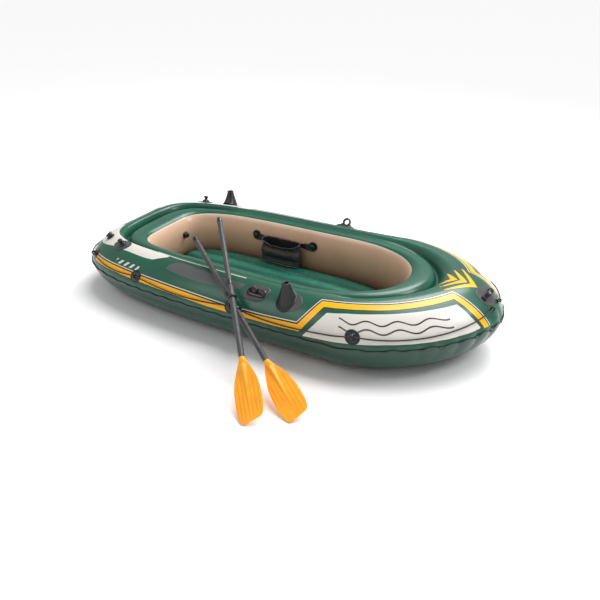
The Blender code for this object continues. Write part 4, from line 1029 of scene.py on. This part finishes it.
def bladePart():
    # along x from the tip to the neck, superellipse sections: the half width is a smooth curve through
    # the outline, the thickness a thin plate with shallow flutes, a ridge that grows to the neck
    o = oarSet
    neck = o["bladeLength"] - o["socket"]
    wide, root = o["bladeWidth"] / 2, o["shaftR"] * 1.12
    xs = np.array([0.0, 0.1, 0.19, 0.27, 0.38, 0.48, 0.58, 0.68, 0.79, 0.89, 1.0, 1.1]) * neck
    ws = np.array([0.8, 0.93, 0.985, 1.0, 1.0, 0.985, 0.93, 0.83, 0.66, 0.48, root / wide,
                   root / wide]) * wide
    x = np.concatenate([np.linspace(0, 0.03, 14), np.linspace(0.034, neck, 96),
                        np.linspace(neck + 0.002, o["bladeLength"], 6)])
    half = np.interp(x, xs, ws)
    for _ in range(6):
        half[1:-1] = (half[:-2] + 2 * half[1:-1] + half[2:]) / 4
    half[-6:] = root
    corner = np.clip(x / 0.016, 0, 1)
    half = half - 0.014 * (1 - np.sqrt(corner * (2 - corner)))
    u, turned = np.cos(fullTurn(96)), np.sin(fullTurn(96))
    side = signedPower(turned, 0.35)
    spread = np.clip((x - 0.9 * neck) / (0.09 * neck), 0, 1)[:, None]
    spread = spread * spread * (3 - 2 * spread)
    ridge = o["shaftR"] * np.clip((x - 0.05) / (neck - 0.05), 0, 1)[:, None] ** 1.6
    across = half[:, None] * u
    grow = np.exp(-(across / (0.006 + 0.008 * np.clip(x / neck, 0, 1)[:, None])) ** 2)
    fade = (np.clip(x / 0.05, 0, 1) * np.clip((0.82 * neck - x) / 0.06, 0, 1))[:, None]
    flute = 0.0009 * np.cos(2 * math.pi * across / 0.019) * fade
    flute = flute * np.clip((half[:, None] - np.abs(across)) / 0.01, 0, 1)
    plate = 0.0021 + flute + ridge * grow * (1 - spread)
    z = np.where(spread > 0, plate * side * (1 - spread) + root * turned * spread, plate * side)
    z = z * (np.abs(turned) >= 1e-9)
    slant = 0.008 * np.clip(1 - x / 0.05, 0, 1)[:, None] * u * (half[:, None] / wide) + 0.0035
    points = np.stack([x[:, None] + np.where(x[:, None] > 0.06, 0 * u, slant), across, z], -1)
    return capped(points, points[:1].mean(1, keepdims=True), points[-1:].mean(1, keepdims=True))


def shaftPart(start, end, radius, ribs=None):
    # a round tube along x; ribs is (from, to, pitch, depth) of a corrugated stretch
    x = np.arange(start + 0.0006, end - 0.0006, 0.0012 if ribs else 0.006)
    x = np.concatenate([[start], x, [end - 0.0006, end]])
    r = np.full(len(x), radius)
    r[[0, -1]] = radius - 0.0008
    if ribs:
        low, high, pitch, depth = ribs
        inside = np.clip((x - low) / 0.01, 0, 1) * np.clip((high - x) / 0.01, 0, 1)
        r = r - depth * inside * (0.5 - 0.5 * np.cos(2 * math.pi * x / pitch)) ** 0.7
    turn = fullTurn(32)
    points = np.stack([x[:, None] + 0 * turn, r[:, None] * np.cos(turn), r[:, None] * np.sin(turn)], -1)
    return capped(points, np.array([[[start, 0, 0]]]), np.array([[[end, 0, 0]]]))


def aroundShaft(profile, at, sides=40, closed=False):
    # a turned part laid along x
    points, faces = turnedPart(profile, sides, closed, radius=0.0008)
    return points[:, [2, 0, 1]] + [at, 0, 0], faces


def oars():
    # each oar lies along its own draw joint's axis, turned about it so that the blade's low corner is
    # on the floor
    o = oarSet
    axes = {j["name"]: np.array(j["axis"], float) for j in frame["joints"]}
    joint = o["joint"]
    r = o["shaftR"]
    for name, (x, outboard, collarAt) in o["places"].items():
        way = axes[f"oar_{name}_draw"] / np.linalg.norm(axes[f"oar_{name}_draw"])
        roll = math.radians(o["roll"])
        drop = 0.5 * o["bladeWidth"] * o["tip"] * math.sin(roll) + 0.001
        flat = np.array([way[1], -way[0], 0]) / math.hypot(way[0], way[1])
        raised = np.cross(way, flat)
        raised = raised if raised[2] > 0 else -raised
        across = flat * math.cos(roll) + raised * math.sin(roll)
        place = np.eye(4)
        place[:3, :3] = np.column_stack([way, across, np.cross(way, across)])
        place[:3, 3] = (x, -halfWidth - outboard, drop)
        low, high = f"oar_{name}", f"oar_{name}_top"

        def add(tag, part, material, body, cadName="", sharp=38):
            makePiece(f"oar{name.title()}{tag}", part, material, cadName and f"oar_{name}_{cadName}", body,
                      matrix=place, sharp=sharp)

        add("Blade", bladePart(), bladeMaterial, low, "blade", 50)
        ribs = (0.345, 0.69, 0.0064, 0.0011) if name == "rear" else None
        add("LowerShaft", shaftPart(o["bladeLength"] - 0.002, joint, r, ribs), shaftMaterial, low,
            "lower_shaft")
        add("UpperShaft", shaftPart(joint + 0.0004, o["length"] - 0.03, r * 0.94), shaftMaterial, high,
            "upper_shaft")
        add("Sleeve", aroundShaft([(0, 0), (r * 0.99, 0), (r * 1.06, 0.001), (r * 1.06, 0.003),
                                   (r * 0.99, 0.004), (r * 0.97, 0.03), (0, 0.0305)], joint + 0.0006),
            blackVinyl, high)
        button = turnedPart([(0, 0), (0.0035, 0), (0.0033, 0.0018), (0, 0.0024)], 24, radius=0.0006)
        add("SnapButton", stretched(button, 1, [joint - 0.028, 0, r - 0.0004]), blackVinyl, low)
        add("GripCap", aroundShaft([(0, 0.0), (r * 0.95, 0), (r, 0.001), (r, 0.022), (r * 0.92, 0.026),
                                    (r * 0.75, 0.0278), (0, 0.028)], o["length"] - 0.03 + 0.0008),
            blackVinyl, high, "grip_cap")
        c = o["collarR"]
        ring = filleted([(r + 0.0005, 0), (c * 0.8, 0), (c * 0.97, 0.0025), (c, 0.005), (c, 0.007),
                         (c * 0.97, 0.0095), (c * 0.8, 0.012), (r + 0.0005, 0.012)], 0.0015, 3)
        add("Collar", aroundShaft(ring, collarAt, 56, True), blackVinyl, low, "collar")


oars()
print("oars made")

stageSet = dict(floor=60.0, target=(0.008, 0.104, -0.033), azimuth=29.94, elevation=28.18,
                distance=4.188, lens=43.79)


def studio():
    mesh = bpy.data.meshes.new("studioFloor")
    r = stageSet["floor"]
    corners = [(-r, -r, -0.0005), (r, -r, -0.0005), (r, r, -0.0005), (-r, r, -0.0005)]
    mesh.from_pydata(corners, [], [(0, 1, 2, 3)])
    ground = bpy.data.objects.new("studioFloor", mesh)
    bpy.context.scene.collection.objects.link(ground)
    material, tree, shader = startMaterial("studioPaper", Roughness=0.95)
    paper = node(tree, "TexNoise", None, {"Scale": 3.0, "Vector": node(tree, "TexCoord").outputs["Object"]})
    tree.links.new(blend(tree, paper.outputs[0], linear("#fbfbfb"), linear("#fdfdfd")),
                   shader.inputs["Base Color"])
    mesh.materials.append(material)
    world = bpy.data.worlds.new("studioWorld")
    world.use_nodes = True
    background = world.node_tree.nodes["Background"]
    background.inputs["Color"].default_value = linear("#ffffff")
    background.inputs["Strength"].default_value = 0.48
    bpy.context.scene.world = world
    sun = bpy.data.lights.new("softSun", "SUN")
    sun.energy, sun.angle = 1.7, 0.6
    high = bpy.data.objects.new("softSun", sun)
    high.rotation_euler = Vector((0.15, 0.35, 1.0)).to_track_quat("Z", "Y").to_euler()
    bpy.context.scene.collection.objects.link(high)
    lamps = [((0.3, 2.2, 3.0), (2.4, 1.2), 75), ((-1.8, -2.6, 3.0), (1.6, 1.6), 16),
             ((3.0, 0.4, 2.6), (1.2, 1.2), 40)]
    for k, (place, size, power) in enumerate(lamps):
        lamp = bpy.data.lights.new(f"softbox{k}", "AREA")
        lamp.shape, lamp.size, lamp.size_y, lamp.energy = "RECTANGLE", size[0], size[1], power
        thing = bpy.data.objects.new(f"softbox{k}", lamp)
        thing.location = place
        thing.rotation_euler = (Vector((0, 0, 0.2)) - Vector(place)).to_track_quat("-Z", "Y").to_euler()
        bpy.context.scene.collection.objects.link(thing)


def camera():
    s = stageSet
    a, e = math.radians(s["azimuth"]), math.radians(s["elevation"])
    back = Vector((math.sin(a) * math.cos(e), -math.cos(a) * math.cos(e), math.sin(e)))
    data = bpy.data.cameras.new("camera")
    data.lens, data.sensor_width = s["lens"], 36
    thing = bpy.data.objects.new("camera", data)
    thing.location = Vector(s["target"]) + back * s["distance"]
    thing.rotation_euler = (-back).to_track_quat("-Z", "Y").to_euler()
    bpy.context.scene.collection.objects.link(thing)
    bpy.context.scene.camera = thing


studio()
camera()
bpy.context.scene.view_settings.view_transform = "Standard"
